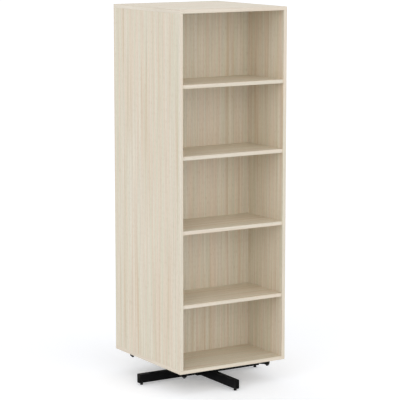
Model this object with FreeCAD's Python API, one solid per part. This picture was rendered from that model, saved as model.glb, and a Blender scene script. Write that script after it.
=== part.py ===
"""Rotary filing cabinet: a two-sided binder cabinet that turns on a steel cross base.

Millimetres. Origin on the floor, on the turning axis; +Z up, open fronts towards -Y and +Y, closed
side panels towards -X and +X. Every separate piece, or group of identical fasteners, is written as one
STEP file in parts/.

From the floor up: four levelling feet, a lower cross of four tube arms welded round a hub, a caged
thrust roller bearing between two plates, an upper cross whose arms point at the cabinet's corners, and
the board carcass with its middle partition and half-depth shelves.
"""
import FreeCAD, Part
import math
import os

from FreeCAD import Vector

# ---------------------------------------------------------------------------- driving dimensions, mm
# Carcass
CABINET_WIDTH = 600.0
CABINET_DEPTH = 630.0
BOARD = 18.0
CARCASS_HEIGHT = 1732.0
CLEAR_HEIGHTS = (298.0, 338.0, 337.0, 319.0)  # compartments, lowest first; the top one takes the rest
SHELF_SETBACK = 5.0  # shelf front edge behind the cabinet's front plane
EDGING = 2.0  # thickness of the edge strips
EDGING_CHAMFER = 0.6

# Rectangular tube arms
TUBE_WIDTH = 25.0
TUBE_WALL = 2.0
TUBE_CORNER = 1.8  # flat on the tube's cold-formed corners
LOWER_TUBE_HEIGHT = 45.0
UPPER_TUBE_HEIGHT = 30.0
LOWER_REACH = 350.0  # turning axis to the outer face of an arm's end plug
UPPER_REACH = 357.0
HUB_SIDE = 60.0
HUB_WALL = 4.0
UPPER_HUB_TURN = 45.0  # degrees, so that its faces meet the diagonal arms

# Plastic plugs in the tube ends
PLUG_FLANGE = 3.0
PLUG_DEPTH = 7.0
PLUG_FIN = 1.8
PLUG_CLEARANCE = 0.1

# Levelling feet
FOOT_INSET = 18.0  # foot axis behind the arm's end
PAD_ACROSS_FLATS = 15.0
PAD_HEIGHT = 6.0
PAD_SOCKET_DEPTH = 3.2
STEM_DIAMETER = 8.0
STEM_TOP_GAP = 5.0  # stem end to the tube's upper wall, foot screwed right in
COLLAR_ACROSS_FLATS = 13.0
COLLAR_HEIGHT = 3.8
COLLAR_GAP = 0.1  # collar to tube, foot screwed right in
FOOT_NUT_ACROSS_FLATS = 13.0
FOOT_NUT_HEIGHT = 6.5
STEM_HOLE_CLEARANCE = 0.4  # radial, stem in the tube's wall
THREAD_CLEARANCE = 0.05  # radial, between a thread's cylinder and its nut
SOCKET_CLEARANCE = 0.1  # radial and axial, stem foot in its pad

# Thrust roller bearing
PLATE_SIDE = 150.0
PLATE_CORNER = 15.0
PLATE_THICKNESS = 8.0
ROLLER_CIRCLE_DIAMETER = 90.0
ROLLER_DIAMETER = 11.0
ROLLER_LENGTH = 16.0
ROLLER_COUNT = 8
ROLLER_CLEARANCE = 0.05  # between a roller and each plate
CAGE_THICKNESS = 6.0
CAGE_MARGIN = 4.0  # cage rim beyond the pockets
POCKET_CLEARANCE = 0.15

# Pivot in the middle of the bearing: a shoulder bolt, head up, in a plain bush
SHOULDER_DIAMETER = 20.0
BOLT_DIAMETER = 16.0
BOLT_TIP = 3.0  # bolt end below the locknut
BOLT_HEAD_HEIGHT = 10.0
BOLT_ACROSS_FLATS = 30.0
BOLT_HOLE_CLEARANCE = 0.2
LOCKNUT_HEIGHT = 15.0
LOCKNUT_ACROSS_FLATS = 24.0
BUSH_WALL = 2.5
BUSH_PROUD = 2.0  # bush above the upper plate
RUNNING_CLEARANCE = 0.05  # radial, bush on shoulder
BUSH_END_PLAY = 0.2

# Screws that hold the carcass on the upper cross
SCREW_INSET = 10.0  # screw axis behind the arm's end
SCREW_DIAMETER = 8.0
SCREW_BITE = 13.0  # screw length inside the bottom board
SCREW_HEAD_DIAMETER = 14.0
SCREW_HEAD_HEIGHT = 9.0
SCREW_HOLE_DIAMETER = 9.0
SCREW_HOLE_SPARE = 1.0  # hole in the board beyond the screw's end

# Loose tongues that join the boards, glued in stopped grooves
TONGUE_THICKNESS = 4.0
TONGUE_REACH = 6.0  # into each of the two boards
TONGUE_STOP = 30.0  # tongue end before the board's end
GROOVE_CLEARANCE = 0.1
SHELF_GROOVE = 5.0  # depth of the side panels' grooves for the shelf ends

# ---------------------------------------------------------------------------- derived places, mm
HALF_WIDTH = CABINET_WIDTH / 2
HALF_DEPTH = CABINET_DEPTH / 2
INNER_HALF_WIDTH = HALF_WIDTH - BOARD
PARTITION_HALF = BOARD / 2

LOWER_TUBE_BASE = PAD_HEIGHT + SOCKET_CLEARANCE + COLLAR_HEIGHT + COLLAR_GAP
LOWER_TUBE_TOP = LOWER_TUBE_BASE + LOWER_TUBE_HEIGHT
LOWER_PLATE_TOP = LOWER_TUBE_TOP + PLATE_THICKNESS
ROLLER_LEVEL = LOWER_PLATE_TOP + ROLLER_CLEARANCE + ROLLER_DIAMETER / 2
UPPER_PLATE_BASE = ROLLER_LEVEL + ROLLER_DIAMETER / 2 + ROLLER_CLEARANCE
UPPER_TUBE_BASE = UPPER_PLATE_BASE + PLATE_THICKNESS
CARCASS_BASE = UPPER_TUBE_BASE + UPPER_TUBE_HEIGHT
FOOT_CIRCLE_RADIUS = LOWER_REACH - FOOT_INSET
CARCASS_SCREW_RADIUS = UPPER_REACH - SCREW_INSET
ROLLER_CIRCLE_RADIUS = ROLLER_CIRCLE_DIAMETER / 2

SIDE_BASE = CARCASS_BASE + BOARD
CARCASS_TOP = CARCASS_BASE + CARCASS_HEIGHT
SIDE_TOP = CARCASS_TOP - BOARD
SHELF_BASES = [
    SIDE_BASE + sum(CLEAR_HEIGHTS[: level + 1]) + BOARD * level
    for level in range(len(CLEAR_HEIGHTS))
]

BUSH_INNER_RADIUS = SHOULDER_DIAMETER / 2 + RUNNING_CLEARANCE
BUSH_RADIUS = BUSH_INNER_RADIUS + BUSH_WALL
BUSH_TOP = UPPER_TUBE_BASE + BUSH_PROUD
SHOULDER_TOP = BUSH_TOP + BUSH_END_PLAY
LOCKNUT_BASE = LOWER_TUBE_TOP - LOCKNUT_HEIGHT

LOWER_ARM_ANGLES = {"front": -90.0, "right": 0.0, "rear": 90.0, "left": 180.0}
CORNER_ANGLE = math.degrees(math.atan2(CABINET_DEPTH, CABINET_WIDTH))
UPPER_ARM_ANGLES = {
    "front_right": -CORNER_ANGLE,
    "rear_right": CORNER_ANGLE,
    "rear_left": 180.0 - CORNER_ANGLE,
    "front_left": 180.0 + CORNER_ANGLE,
}

X_AXIS = Vector(1, 0, 0)
Y_AXIS = Vector(0, 1, 0)
Z_AXIS = Vector(0, 0, 1)


# ---------------------------------------------------------------------------- shape helpers
def export(name, shape):
    """Write one node."""
    shape.exportStep("parts/%s.step" % name)


def box(x_span, y_span, z_span):
    """A block between two values on each axis."""
    corner = Vector(x_span[0], y_span[0], z_span[0])
    return Part.makeBox(x_span[1] - x_span[0], y_span[1] - y_span[0], z_span[1] - z_span[0], corner)


def rod(diameter, z_span, x=0.0, y=0.0):
    """An upright cylinder."""
    return Part.makeCylinder(diameter / 2, z_span[1] - z_span[0], Vector(x, y, z_span[0]))


def ring(outer_diameter, inner_diameter, z_span):
    """An upright washer or tube round the Z axis."""
    return rod(outer_diameter, z_span).cut(rod(inner_diameter, z_span))


def hexagon(across_flats, z_span):
    """An upright hexagonal prism."""
    radius = across_flats / math.sqrt(3)
    angles = [math.radians(60 * i) for i in range(6)]
    corners = [Vector(radius * math.cos(a), radius * math.sin(a), z_span[0]) for a in angles]
    return Part.Face(Part.makePolygon(corners + corners[:1])).extrude(Z_AXIS * (z_span[1] - z_span[0]))


def tube_bar(height, base, x_span):
    """A bar along X with the tubes' outline: a rectangle with a flat on each corner."""
    block = box(x_span, (-TUBE_WIDTH / 2, TUBE_WIDTH / 2), (base, base + height))
    long_edges = [edge for edge in block.Edges if abs(edge.tangentAt(0).dot(X_AXIS)) > 0.5]
    return block.makeChamfer(TUBE_CORNER, long_edges)


def at_angle(shape, angle):
    """A copy turned about the Z axis."""
    copy = shape.copy()
    copy.rotate(Vector(0, 0, 0), Z_AXIS, angle)
    return copy


def cut_all(shape, tools):
    """Cut every tool out of a shape; the result is one solid."""
    result = shape.cut(Part.makeCompound(tools))
    return result.Solids[0] if len(result.Solids) == 1 else result


# ---------------------------------------------------------------------------- levelling feet
def foot_pad():
    """Plastic pad: a hexagonal block with a blind socket for the stem's foot."""
    socket = rod(STEM_DIAMETER + 2 * SOCKET_CLEARANCE, (PAD_HEIGHT - PAD_SOCKET_DEPTH, PAD_HEIGHT))
    return hexagon(PAD_ACROSS_FLATS, (0, PAD_HEIGHT)).cut(socket)


def foot_stem():
    """Threaded stem with a hexagon collar, standing in the pad's socket."""
    base = PAD_HEIGHT - PAD_SOCKET_DEPTH + SOCKET_CLEARANCE
    collar_base = PAD_HEIGHT + SOCKET_CLEARANCE
    stem = rod(STEM_DIAMETER, (base, LOWER_TUBE_TOP - TUBE_WALL - STEM_TOP_GAP))
    return stem.fuse(hexagon(COLLAR_ACROSS_FLATS, (collar_base, collar_base + COLLAR_HEIGHT)))


def foot_nut():
    """Hexagon nut welded on the inside of a tube's lower wall."""
    span = (LOWER_TUBE_BASE + TUBE_WALL, LOWER_TUBE_BASE + TUBE_WALL + FOOT_NUT_HEIGHT)
    return hexagon(FOOT_NUT_ACROSS_FLATS, span).cut(rod(STEM_DIAMETER + 2 * THREAD_CLEARANCE, span))


def foot_place(shape, angle):
    """Move a foot's piece out to its arm."""
    copy = shape.copy()
    copy.translate(Vector(FOOT_CIRCLE_RADIUS, 0, 0))
    return at_angle(copy, angle)


# ---------------------------------------------------------------------------- the two crosses
def square_block(side, base, height, turn=0.0):
    """Upright square block on the turning axis, turned about it."""
    return at_angle(box((-side / 2, side / 2), (-side / 2, side / 2), (base, base + height)), turn)


def hub(base, height, turn=0.0):
    """Square tube that the four arms of a cross are welded to."""
    outer = square_block(HUB_SIDE, base, height, turn)
    return outer.cut(square_block(HUB_SIDE - 2 * HUB_WALL, base, height, turn))


def arm_tube(height, base, reach):
    """Tube arm along +X from the axis to its plug."""
    x_span = (0, reach - PLUG_FLANGE)
    inner_half = TUBE_WIDTH / 2 - TUBE_WALL
    inner = box(x_span, (-inner_half, inner_half), (base + TUBE_WALL, base + height - TUBE_WALL))
    return tube_bar(height, base, x_span).cut(inner)


def lower_arm():
    """Lower arm with the hole for its foot's stem."""
    wall_span = (LOWER_TUBE_BASE, LOWER_TUBE_BASE + TUBE_WALL)
    hole = rod(STEM_DIAMETER + 2 * STEM_HOLE_CLEARANCE, wall_span, FOOT_CIRCLE_RADIUS)
    return arm_tube(LOWER_TUBE_HEIGHT, LOWER_TUBE_BASE, LOWER_REACH).cut(hole)


def upper_arm():
    """Upper arm with the clearance hole for its carcass screw through both walls."""
    hole = rod(SCREW_HOLE_DIAMETER, (UPPER_TUBE_BASE, CARCASS_BASE), CARCASS_SCREW_RADIUS)
    return arm_tube(UPPER_TUBE_HEIGHT, UPPER_TUBE_BASE, UPPER_REACH).cut(hole)


def end_plug(height, base, reach):
    """Plug along +X: a flange over the tube's end and two fins against its side walls."""
    flange_base = reach - PLUG_FLANGE
    inset = TUBE_WALL + PLUG_CLEARANCE
    outer = TUBE_WIDTH / 2 - inset
    fins = [
        box((flange_base - PLUG_DEPTH, flange_base), sorted((side * (outer - PLUG_FIN), side * outer)),
            (base + inset, base + height - inset))
        for side in (-1, 1)
    ]
    return tube_bar(height, base, (flange_base, reach)).fuse(fins)


# ---------------------------------------------------------------------------- bearing and pivot
def bearing_plate(base, bore_diameter):
    """Square plate with cut corners; the rollers run on its ground face."""
    plate = square_block(PLATE_SIDE, base, PLATE_THICKNESS)
    upright = [edge for edge in plate.Edges if math.isclose(edge.Length, PLATE_THICKNESS)]
    bore = rod(bore_diameter, (base, base + PLATE_THICKNESS))
    return plate.makeChamfer(PLATE_CORNER, upright).cut(bore)


def round_the_cage(shape):
    """One copy of a shape at each roller's place."""
    return [at_angle(shape, 360.0 * i / ROLLER_COUNT) for i in range(ROLLER_COUNT)]


def bearing_rollers():
    """All the rollers, lying like spokes, each its own solid."""
    inner_end = ROLLER_CIRCLE_RADIUS - ROLLER_LENGTH / 2
    roller = Part.makeCylinder(ROLLER_DIAMETER / 2, ROLLER_LENGTH, Vector(inner_end, 0, ROLLER_LEVEL), X_AXIS)
    return Part.makeCompound(round_the_cage(roller))


def roller_cage():
    """Flat ring that spaces the rollers, with one rectangular pocket for each."""
    span = (ROLLER_LEVEL - CAGE_THICKNESS / 2, ROLLER_LEVEL + CAGE_THICKNESS / 2)
    half_length = ROLLER_LENGTH / 2 + POCKET_CLEARANCE
    half_width = ROLLER_DIAMETER / 2 + POCKET_CLEARANCE
    rim = half_length + CAGE_MARGIN
    flat = ring(2 * (ROLLER_CIRCLE_RADIUS + rim), 2 * (ROLLER_CIRCLE_RADIUS - rim), span)
    pocket = box(
        (ROLLER_CIRCLE_RADIUS - half_length, ROLLER_CIRCLE_RADIUS + half_length),
        (-half_width, half_width), span)
    return cut_all(flat, round_the_cage(pocket))


def pivot_bolt():
    """Shoulder bolt, head up; its shoulder stands on the lower plate and the bush runs on it."""
    thread = rod(BOLT_DIAMETER, (LOCKNUT_BASE - BOLT_TIP, LOWER_PLATE_TOP))
    shoulder = rod(SHOULDER_DIAMETER, (LOWER_PLATE_TOP, SHOULDER_TOP))
    head = hexagon(BOLT_ACROSS_FLATS, (SHOULDER_TOP, SHOULDER_TOP + BOLT_HEAD_HEIGHT))
    return thread.fuse([shoulder, head])


def pivot_locknut():
    """Hexagon locknut against the lower plate."""
    span = (LOCKNUT_BASE, LOWER_TUBE_TOP)
    return hexagon(LOCKNUT_ACROSS_FLATS, span).cut(rod(BOLT_DIAMETER + 2 * THREAD_CLEARANCE, span))


def pivot_bush():
    """Plain bush pressed into the upper plate and standing proud of it, under the bolt's head."""
    return ring(2 * BUSH_RADIUS, 2 * BUSH_INNER_RADIUS, (UPPER_PLATE_BASE, BUSH_TOP))


# ---------------------------------------------------------------------------- carcass screws
def on_upper_arms(shape):
    """One copy at each upper arm's screw, each its own solid."""
    copy = shape.copy()
    copy.translate(Vector(CARCASS_SCREW_RADIUS, 0, 0))
    return Part.makeCompound([at_angle(copy, angle) for angle in UPPER_ARM_ANGLES.values()])


def carcass_screw():
    """Round-headed screw from below, through an upper arm into the bottom board."""
    head = rod(SCREW_HEAD_DIAMETER, (UPPER_TUBE_BASE - SCREW_HEAD_HEIGHT, UPPER_TUBE_BASE))
    return head.fuse(rod(SCREW_DIAMETER, (UPPER_TUBE_BASE, CARCASS_BASE + SCREW_BITE)))


def carcass_screw_pilot():
    """Blind hole for a carcass screw in the bottom board."""
    depth = SCREW_BITE + SCREW_HOLE_SPARE
    return rod(SCREW_DIAMETER + 2 * THREAD_CLEARANCE, (CARCASS_BASE, CARCASS_BASE + depth))


# ---------------------------------------------------------------------------- board joints
def joint_tongue(x_centre, y_centre, z_centre, half_x, half_y, half_z, clearance=0.0):
    """Tongue, or with a clearance the groove it needs in both boards, as a block round its centre."""
    return box(
        (x_centre - half_x - clearance, x_centre + half_x + clearance),
        (y_centre - half_y - clearance, y_centre + half_y + clearance),
        (z_centre - half_z - clearance, z_centre + half_z + clearance))


def joint_tongues(clearance=0.0):
    """All loose tongues: side panels and partition to the top and bottom, partition to the side panels."""
    half_thickness = TONGUE_THICKNESS / 2
    side_x = HALF_WIDTH - BOARD / 2
    middle = (SIDE_BASE + SIDE_TOP) / 2
    half_height = (SIDE_TOP - SIDE_BASE) / 2 - TONGUE_STOP
    tongues = []
    for level in (SIDE_BASE, SIDE_TOP):
        for x in (-side_x, side_x):
            tongues.append(joint_tongue(
                x, 0, level, half_thickness, HALF_DEPTH - TONGUE_STOP, TONGUE_REACH, clearance))
        tongues.append(joint_tongue(
            0, 0, level, INNER_HALF_WIDTH - TONGUE_STOP, half_thickness, TONGUE_REACH, clearance))
    for x in (-INNER_HALF_WIDTH, INNER_HALF_WIDTH):
        tongues.append(joint_tongue(x, 0, middle, TONGUE_REACH, half_thickness, half_height, clearance))
    return tongues


# ---------------------------------------------------------------------------- boards
def level_board(z_span):
    """Top or bottom board without its edge strips."""
    return box((EDGING - HALF_WIDTH, HALF_WIDTH - EDGING), (EDGING - HALF_DEPTH, HALF_DEPTH - EDGING), z_span)


def grooved(board):
    """A board with every tongue groove that reaches it."""
    return cut_all(board, joint_tongues(GROOVE_CLEARANCE))


def top_panel():
    """Top board, over the side panels, grooved from below."""
    return grooved(level_board((SIDE_TOP, CARCASS_TOP)))


def bottom_panel():
    """Bottom board, under the side panels, grooved from above, with blind holes for the screws."""
    return grooved(level_board((CARCASS_BASE, SIDE_BASE))).cut(on_upper_arms(carcass_screw_pilot()))


def shelf_front(side_y):
    """Signed position of a shelf's outer face; side_y is -1 for the front, 1 for the rear."""
    return side_y * (HALF_DEPTH - SHELF_SETBACK)


def side_panel(side):
    """Upright side board with its tongue grooves and a stopped groove for every shelf end."""
    x_span = sorted((side * INNER_HALF_WIDTH, side * HALF_WIDTH))
    board = box(x_span, (EDGING - HALF_DEPTH, HALF_DEPTH - EDGING), (SIDE_BASE, SIDE_TOP))
    groove_x = sorted((side * INNER_HALF_WIDTH, side * (INNER_HALF_WIDTH + SHELF_GROOVE + GROOVE_CLEARANCE)))
    grooves = [
        box(groove_x, sorted((side_y * PARTITION_HALF, shelf_front(side_y))), (base, base + BOARD))
        for side_y in (-1, 1) for base in SHELF_BASES
    ]
    return cut_all(grooved(board), grooves)


def centre_partition():
    """Upright board across the middle, the back of both rows of compartments."""
    board = box((-INNER_HALF_WIDTH, INNER_HALF_WIDTH), (-PARTITION_HALF, PARTITION_HALF), (SIDE_BASE, SIDE_TOP))
    return grooved(board)


def shelf_x_span():
    """Shelf length, with both ends in the side panels' grooves."""
    return (-INNER_HALF_WIDTH - SHELF_GROOVE, INNER_HALF_WIDTH + SHELF_GROOVE)


def shelf(base, side_y):
    """Half-depth shelf between the partition and its edge strip."""
    y_span = sorted((side_y * PARTITION_HALF, shelf_front(side_y) - side_y * EDGING))
    return box(shelf_x_span(), y_span, (base, base + BOARD))


# ---------------------------------------------------------------------------- edge strips
def strip(x_span, y_span, z_span, outward):
    """Edge strip with its two long outer edges chamfered; outward is the way its face looks."""
    bar = box(x_span, y_span, z_span)
    outer = max(vertex.Point.dot(outward) for vertex in bar.Vertexes)
    longest = max(edge.Length for edge in bar.Edges)
    edges = [
        edge for edge in bar.Edges
        if math.isclose(edge.Length, longest)
        and all(math.isclose(vertex.Point.dot(outward), outer) for vertex in edge.Vertexes)
    ]
    return bar.makeChamfer(EDGING_CHAMFER, edges)


def level_board_edging(z_span):
    """Four strips round the top or bottom board; the front and rear ones run to the corners."""
    strips = []
    for side in (-1, 1):
        y_span = sorted((side * HALF_DEPTH, side * (HALF_DEPTH - EDGING)))
        strips.append(strip((-HALF_WIDTH, HALF_WIDTH), y_span, z_span, Y_AXIS * side))
        x_span = sorted((side * HALF_WIDTH, side * (HALF_WIDTH - EDGING)))
        strips.append(strip(x_span, (EDGING - HALF_DEPTH, HALF_DEPTH - EDGING), z_span, X_AXIS * side))
    return Part.makeCompound(strips)


def side_panel_edging():
    """Upright strips on the front and rear edges of both side panels."""
    strips = []
    for side_x in (-1, 1):
        x_span = sorted((side_x * INNER_HALF_WIDTH, side_x * HALF_WIDTH))
        for side_y in (-1, 1):
            y_span = sorted((side_y * HALF_DEPTH, side_y * (HALF_DEPTH - EDGING)))
            strips.append(strip(x_span, y_span, (SIDE_BASE, SIDE_TOP), Y_AXIS * side_y))
    return Part.makeCompound(strips)


def shelf_edging():
    """Strip on the open edge of every shelf."""
    strips = []
    for side_y in (-1, 1):
        y_span = sorted((shelf_front(side_y), shelf_front(side_y) - side_y * EDGING))
        for base in SHELF_BASES:
            span = (base, base + BOARD)
            strips.append(strip(shelf_x_span(), y_span, span, Y_AXIS * side_y))
    return Part.makeCompound(strips)


# ---------------------------------------------------------------------------- nodes
def export_feet():
    """Pads, stems and the nuts in the arms."""
    for name, angle in LOWER_ARM_ANGLES.items():
        export("foot_pad_" + name, foot_place(foot_pad(), angle))
        export("foot_stem_" + name, foot_place(foot_stem(), angle))
    nuts = [foot_place(foot_nut(), angle) for angle in LOWER_ARM_ANGLES.values()]
    export("foot_nuts", Part.makeCompound(nuts))


def export_crosses():
    """Arms, hubs and plugs of both crosses."""
    lower_hub_block = square_block(HUB_SIDE, LOWER_TUBE_BASE, LOWER_TUBE_HEIGHT)
    for name, angle in LOWER_ARM_ANGLES.items():
        export("lower_arm_" + name, at_angle(lower_arm(), angle).cut(lower_hub_block))
    upper_hub_block = square_block(HUB_SIDE, UPPER_TUBE_BASE, UPPER_TUBE_HEIGHT, UPPER_HUB_TURN)
    for name, angle in UPPER_ARM_ANGLES.items():
        export("upper_arm_" + name, at_angle(upper_arm(), angle).cut(upper_hub_block))
    export("lower_hub", hub(LOWER_TUBE_BASE, LOWER_TUBE_HEIGHT))
    export("upper_hub", hub(UPPER_TUBE_BASE, UPPER_TUBE_HEIGHT, UPPER_HUB_TURN))
    lower_plug = end_plug(LOWER_TUBE_HEIGHT, LOWER_TUBE_BASE, LOWER_REACH)
    upper_plug = end_plug(UPPER_TUBE_HEIGHT, UPPER_TUBE_BASE, UPPER_REACH)
    export("lower_end_plugs", Part.makeCompound([at_angle(lower_plug, a) for a in LOWER_ARM_ANGLES.values()]))
    export("upper_end_plugs", Part.makeCompound([at_angle(upper_plug, a) for a in UPPER_ARM_ANGLES.values()]))


def export_bearing():
    """Plates, rollers, cage and the pivot."""
    export("lower_bearing_plate", bearing_plate(LOWER_TUBE_TOP, BOLT_DIAMETER + 2 * BOLT_HOLE_CLEARANCE))
    export("upper_bearing_plate", bearing_plate(UPPER_PLATE_BASE, 2 * BUSH_RADIUS))
    export("bearing_rollers", bearing_rollers())
    export("roller_cage", roller_cage())
    export("pivot_bolt", pivot_bolt())
    export("pivot_locknut", pivot_locknut())
    export("pivot_bush", pivot_bush())


def export_carcass():
    """Boards, edge strips, tongues and the screws that hold the carcass."""
    export("top_panel", top_panel())
    export("bottom_panel", bottom_panel())
    export("side_panel_left", side_panel(-1))
    export("side_panel_right", side_panel(1))
    export("centre_partition", centre_partition())
    for side_y, face_name in ((-1, "front"), (1, "rear")):
        for level, base in enumerate(SHELF_BASES, start=1):
            export("shelf_%s_%d" % (face_name, level), shelf(base, side_y))
    export("top_panel_edging", level_board_edging((SIDE_TOP, CARCASS_TOP)))
    export("bottom_panel_edging", level_board_edging((CARCASS_BASE, SIDE_BASE)))
    export("side_panel_edging", side_panel_edging())
    export("shelf_edging", shelf_edging())
    export("joint_tongues", Part.makeCompound(joint_tongues()))
    export("carcass_screws", on_upper_arms(carcass_screw()))


def main():
    """Write every node."""
    os.makedirs("parts", exist_ok=True)
    export_feet()
    export_crosses()
    export_bearing()
    export_carcass()


main()
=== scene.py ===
"""Dressed model of the rotary filing cabinet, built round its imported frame.

Four classes dress the cabinet from the floor up: the levelling feet, the two welded crosses, the roller
turntable between them and the board carcass. A fifth one is the studio with its floor, lamps and camera.
Every length is in millimetres unless a name says otherwise; ``Piece.build`` turns them into metres once.
"""
from __future__ import annotations

import logging
import math
from dataclasses import dataclass, field
from enum import Enum
from functools import partial
from typing import Any, Mapping, Protocol, Sequence

import bmesh
import bpy
import numpy as np
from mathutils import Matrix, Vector


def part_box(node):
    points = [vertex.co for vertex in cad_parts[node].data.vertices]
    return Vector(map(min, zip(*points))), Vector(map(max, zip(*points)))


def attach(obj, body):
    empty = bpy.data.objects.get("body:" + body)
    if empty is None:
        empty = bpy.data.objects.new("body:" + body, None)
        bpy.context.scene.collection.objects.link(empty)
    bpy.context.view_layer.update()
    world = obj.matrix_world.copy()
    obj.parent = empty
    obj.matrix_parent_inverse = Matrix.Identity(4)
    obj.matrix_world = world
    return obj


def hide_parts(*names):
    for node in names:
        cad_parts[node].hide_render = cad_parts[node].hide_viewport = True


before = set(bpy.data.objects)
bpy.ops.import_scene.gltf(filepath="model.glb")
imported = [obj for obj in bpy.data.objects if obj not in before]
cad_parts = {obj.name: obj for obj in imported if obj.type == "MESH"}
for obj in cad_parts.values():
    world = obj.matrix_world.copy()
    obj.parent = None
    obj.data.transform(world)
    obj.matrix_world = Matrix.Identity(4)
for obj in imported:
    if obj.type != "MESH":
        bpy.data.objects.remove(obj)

LOG = logging.getLogger("cabinet")
METRES = 0.001
IMAGE_WIDTH_PX = 400
PAINTED_HIGHLIGHT = "painted_highlight"  # attribute with the share of painted arris highlight
CORNER_STEPS = 5  # points on a rounded upright corner, where nothing else is said
FLAT_CELLS = 4  # cells across and along the patch of a tube's flat that takes a hole
HOLE_ROWS = slice(1, FLAT_CELLS + 1)  # cells along the tube that the patch covers
HEXAGON = 6  # sides
LEAST_ROUNDING = 0.02  # smallest radius of an upright corner
SEAM_MERGING = 0.01  # distance at which two points of a node of the frame are one
ARRIS_SEGMENTS = 2  # strips across a softened arris
ARRIS_ANGLE_DEG = 40.0  # bend from which an edge of a node is an arris
Turns = tuple[tuple[float, float], ...]  # points at which a profile turns, with two sizes each
Array = np.ndarray
Material = bpy.types.Material
Socket = bpy.types.NodeSocket
Tree = bpy.types.NodeTree


# ---------------------------------------------------------------------------- node trees and colours
def linear(hex_colour: str) -> tuple[float, float, float, float]:
    """Turn an sRGB hex value into linear RGBA.

    Each channel c is c / 12.92 up to 0.04045, and above it ((c + 0.055) / 1.055) to the power 2.4.

    Args:
        hex_colour: Colour such as "#E6DCCB".

    Returns:
        Linear red, green and blue, with an alpha of 1.
    """
    channels = [int(hex_colour[i : i + 2], 16) / 255 for i in (1, 3, 5)]
    bent = [c / 12.92 if c <= 0.04045 else ((c + 0.055) / 1.055) ** 2.4 for c in channels]
    return bent[0], bent[1], bent[2], 1.0


def add_node(
    tree: Tree, kind: str, inputs: Mapping[str | int, Any] | None = None, **settings: Any
) -> bpy.types.NodeOutputs:
    """Add one shader node with its settings, its values and its links.

    Args:
        tree: Node tree that takes the node.
        kind: Type name of the node after "ShaderNode", such as "TexNoise".
        inputs: Input names or numbers, each with a value or with the socket that feeds it.
        **settings: Attributes of the node itself.

    Returns:
        The new node's outputs.
    """
    node = tree.nodes.new("ShaderNode" + kind)
    for name, value in settings.items():
        setattr(node, name, value)
    for key, value in (inputs or {}).items():
        if isinstance(value, Socket):
            tree.links.new(value, node.inputs[key])
        else:
            node.inputs[key].default_value = value
    return node.outputs


def blank_material(name: str) -> tuple[Material, Tree]:
    """Make a node material with nothing in its tree.

    Args:
        name: Name of the finish.

    Returns:
        The material and its empty node tree.
    """
    material = bpy.data.materials.new(name)
    material.use_nodes = True
    material.node_tree.nodes.clear()
    return material, material.node_tree


class Finish(Protocol):
    """Anything that can make its own material."""

    def material(self) -> Material:
        """Make the material."""
        ...


class Grain(Enum):
    """Direction in which the grain of a board's decor runs."""

    ALONG_X = 0
    ALONG_Z = 2


@dataclass(frozen=True)
class GrainLayer:
    """One scale of figure in a wood decor.

    Attributes:
        across: Width of a typical streak, mm.
        along: Length over which a streak fades, mm.
        low: Noise value at which the layer starts to show.
        high: Noise value at which it shows fully.
        least: Value of the layer below ``low``.
        most: Value of the layer above ``high``.
        detail: Octaves of finer noise on top.
    """

    across: float
    along: float
    low: float
    high: float
    least: float = 0.0
    most: float = 1.0
    detail: float = 2.0

    def value(self, tree: Tree, position: Socket, grain: Grain) -> Socket:
        """Noise over the position divided by the streak's width and length, then a smooth step.

        Args:
            tree: Node tree that takes the layer.
            position: Socket with the position in metres.
            grain: Direction of the streaks.

        Returns:
            Socket with a value from ``least`` to ``most``.
        """
        scale = [1 / (self.across * METRES)] * 3
        scale[grain.value] = 1 / (self.along * METRES)
        place = add_node(tree, "Mapping", {"Vector": position, "Scale": scale})[0]
        noise = add_node(tree, "TexNoise", {"Vector": place, "Scale": 1.0, "Detail": self.detail})[0]
        span = {0: noise, 1: self.low, 2: self.high, 3: self.least, 4: self.most}
        return add_node(tree, "MapRange", span, interpolation_type="SMOOTHSTEP")[0]


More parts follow.
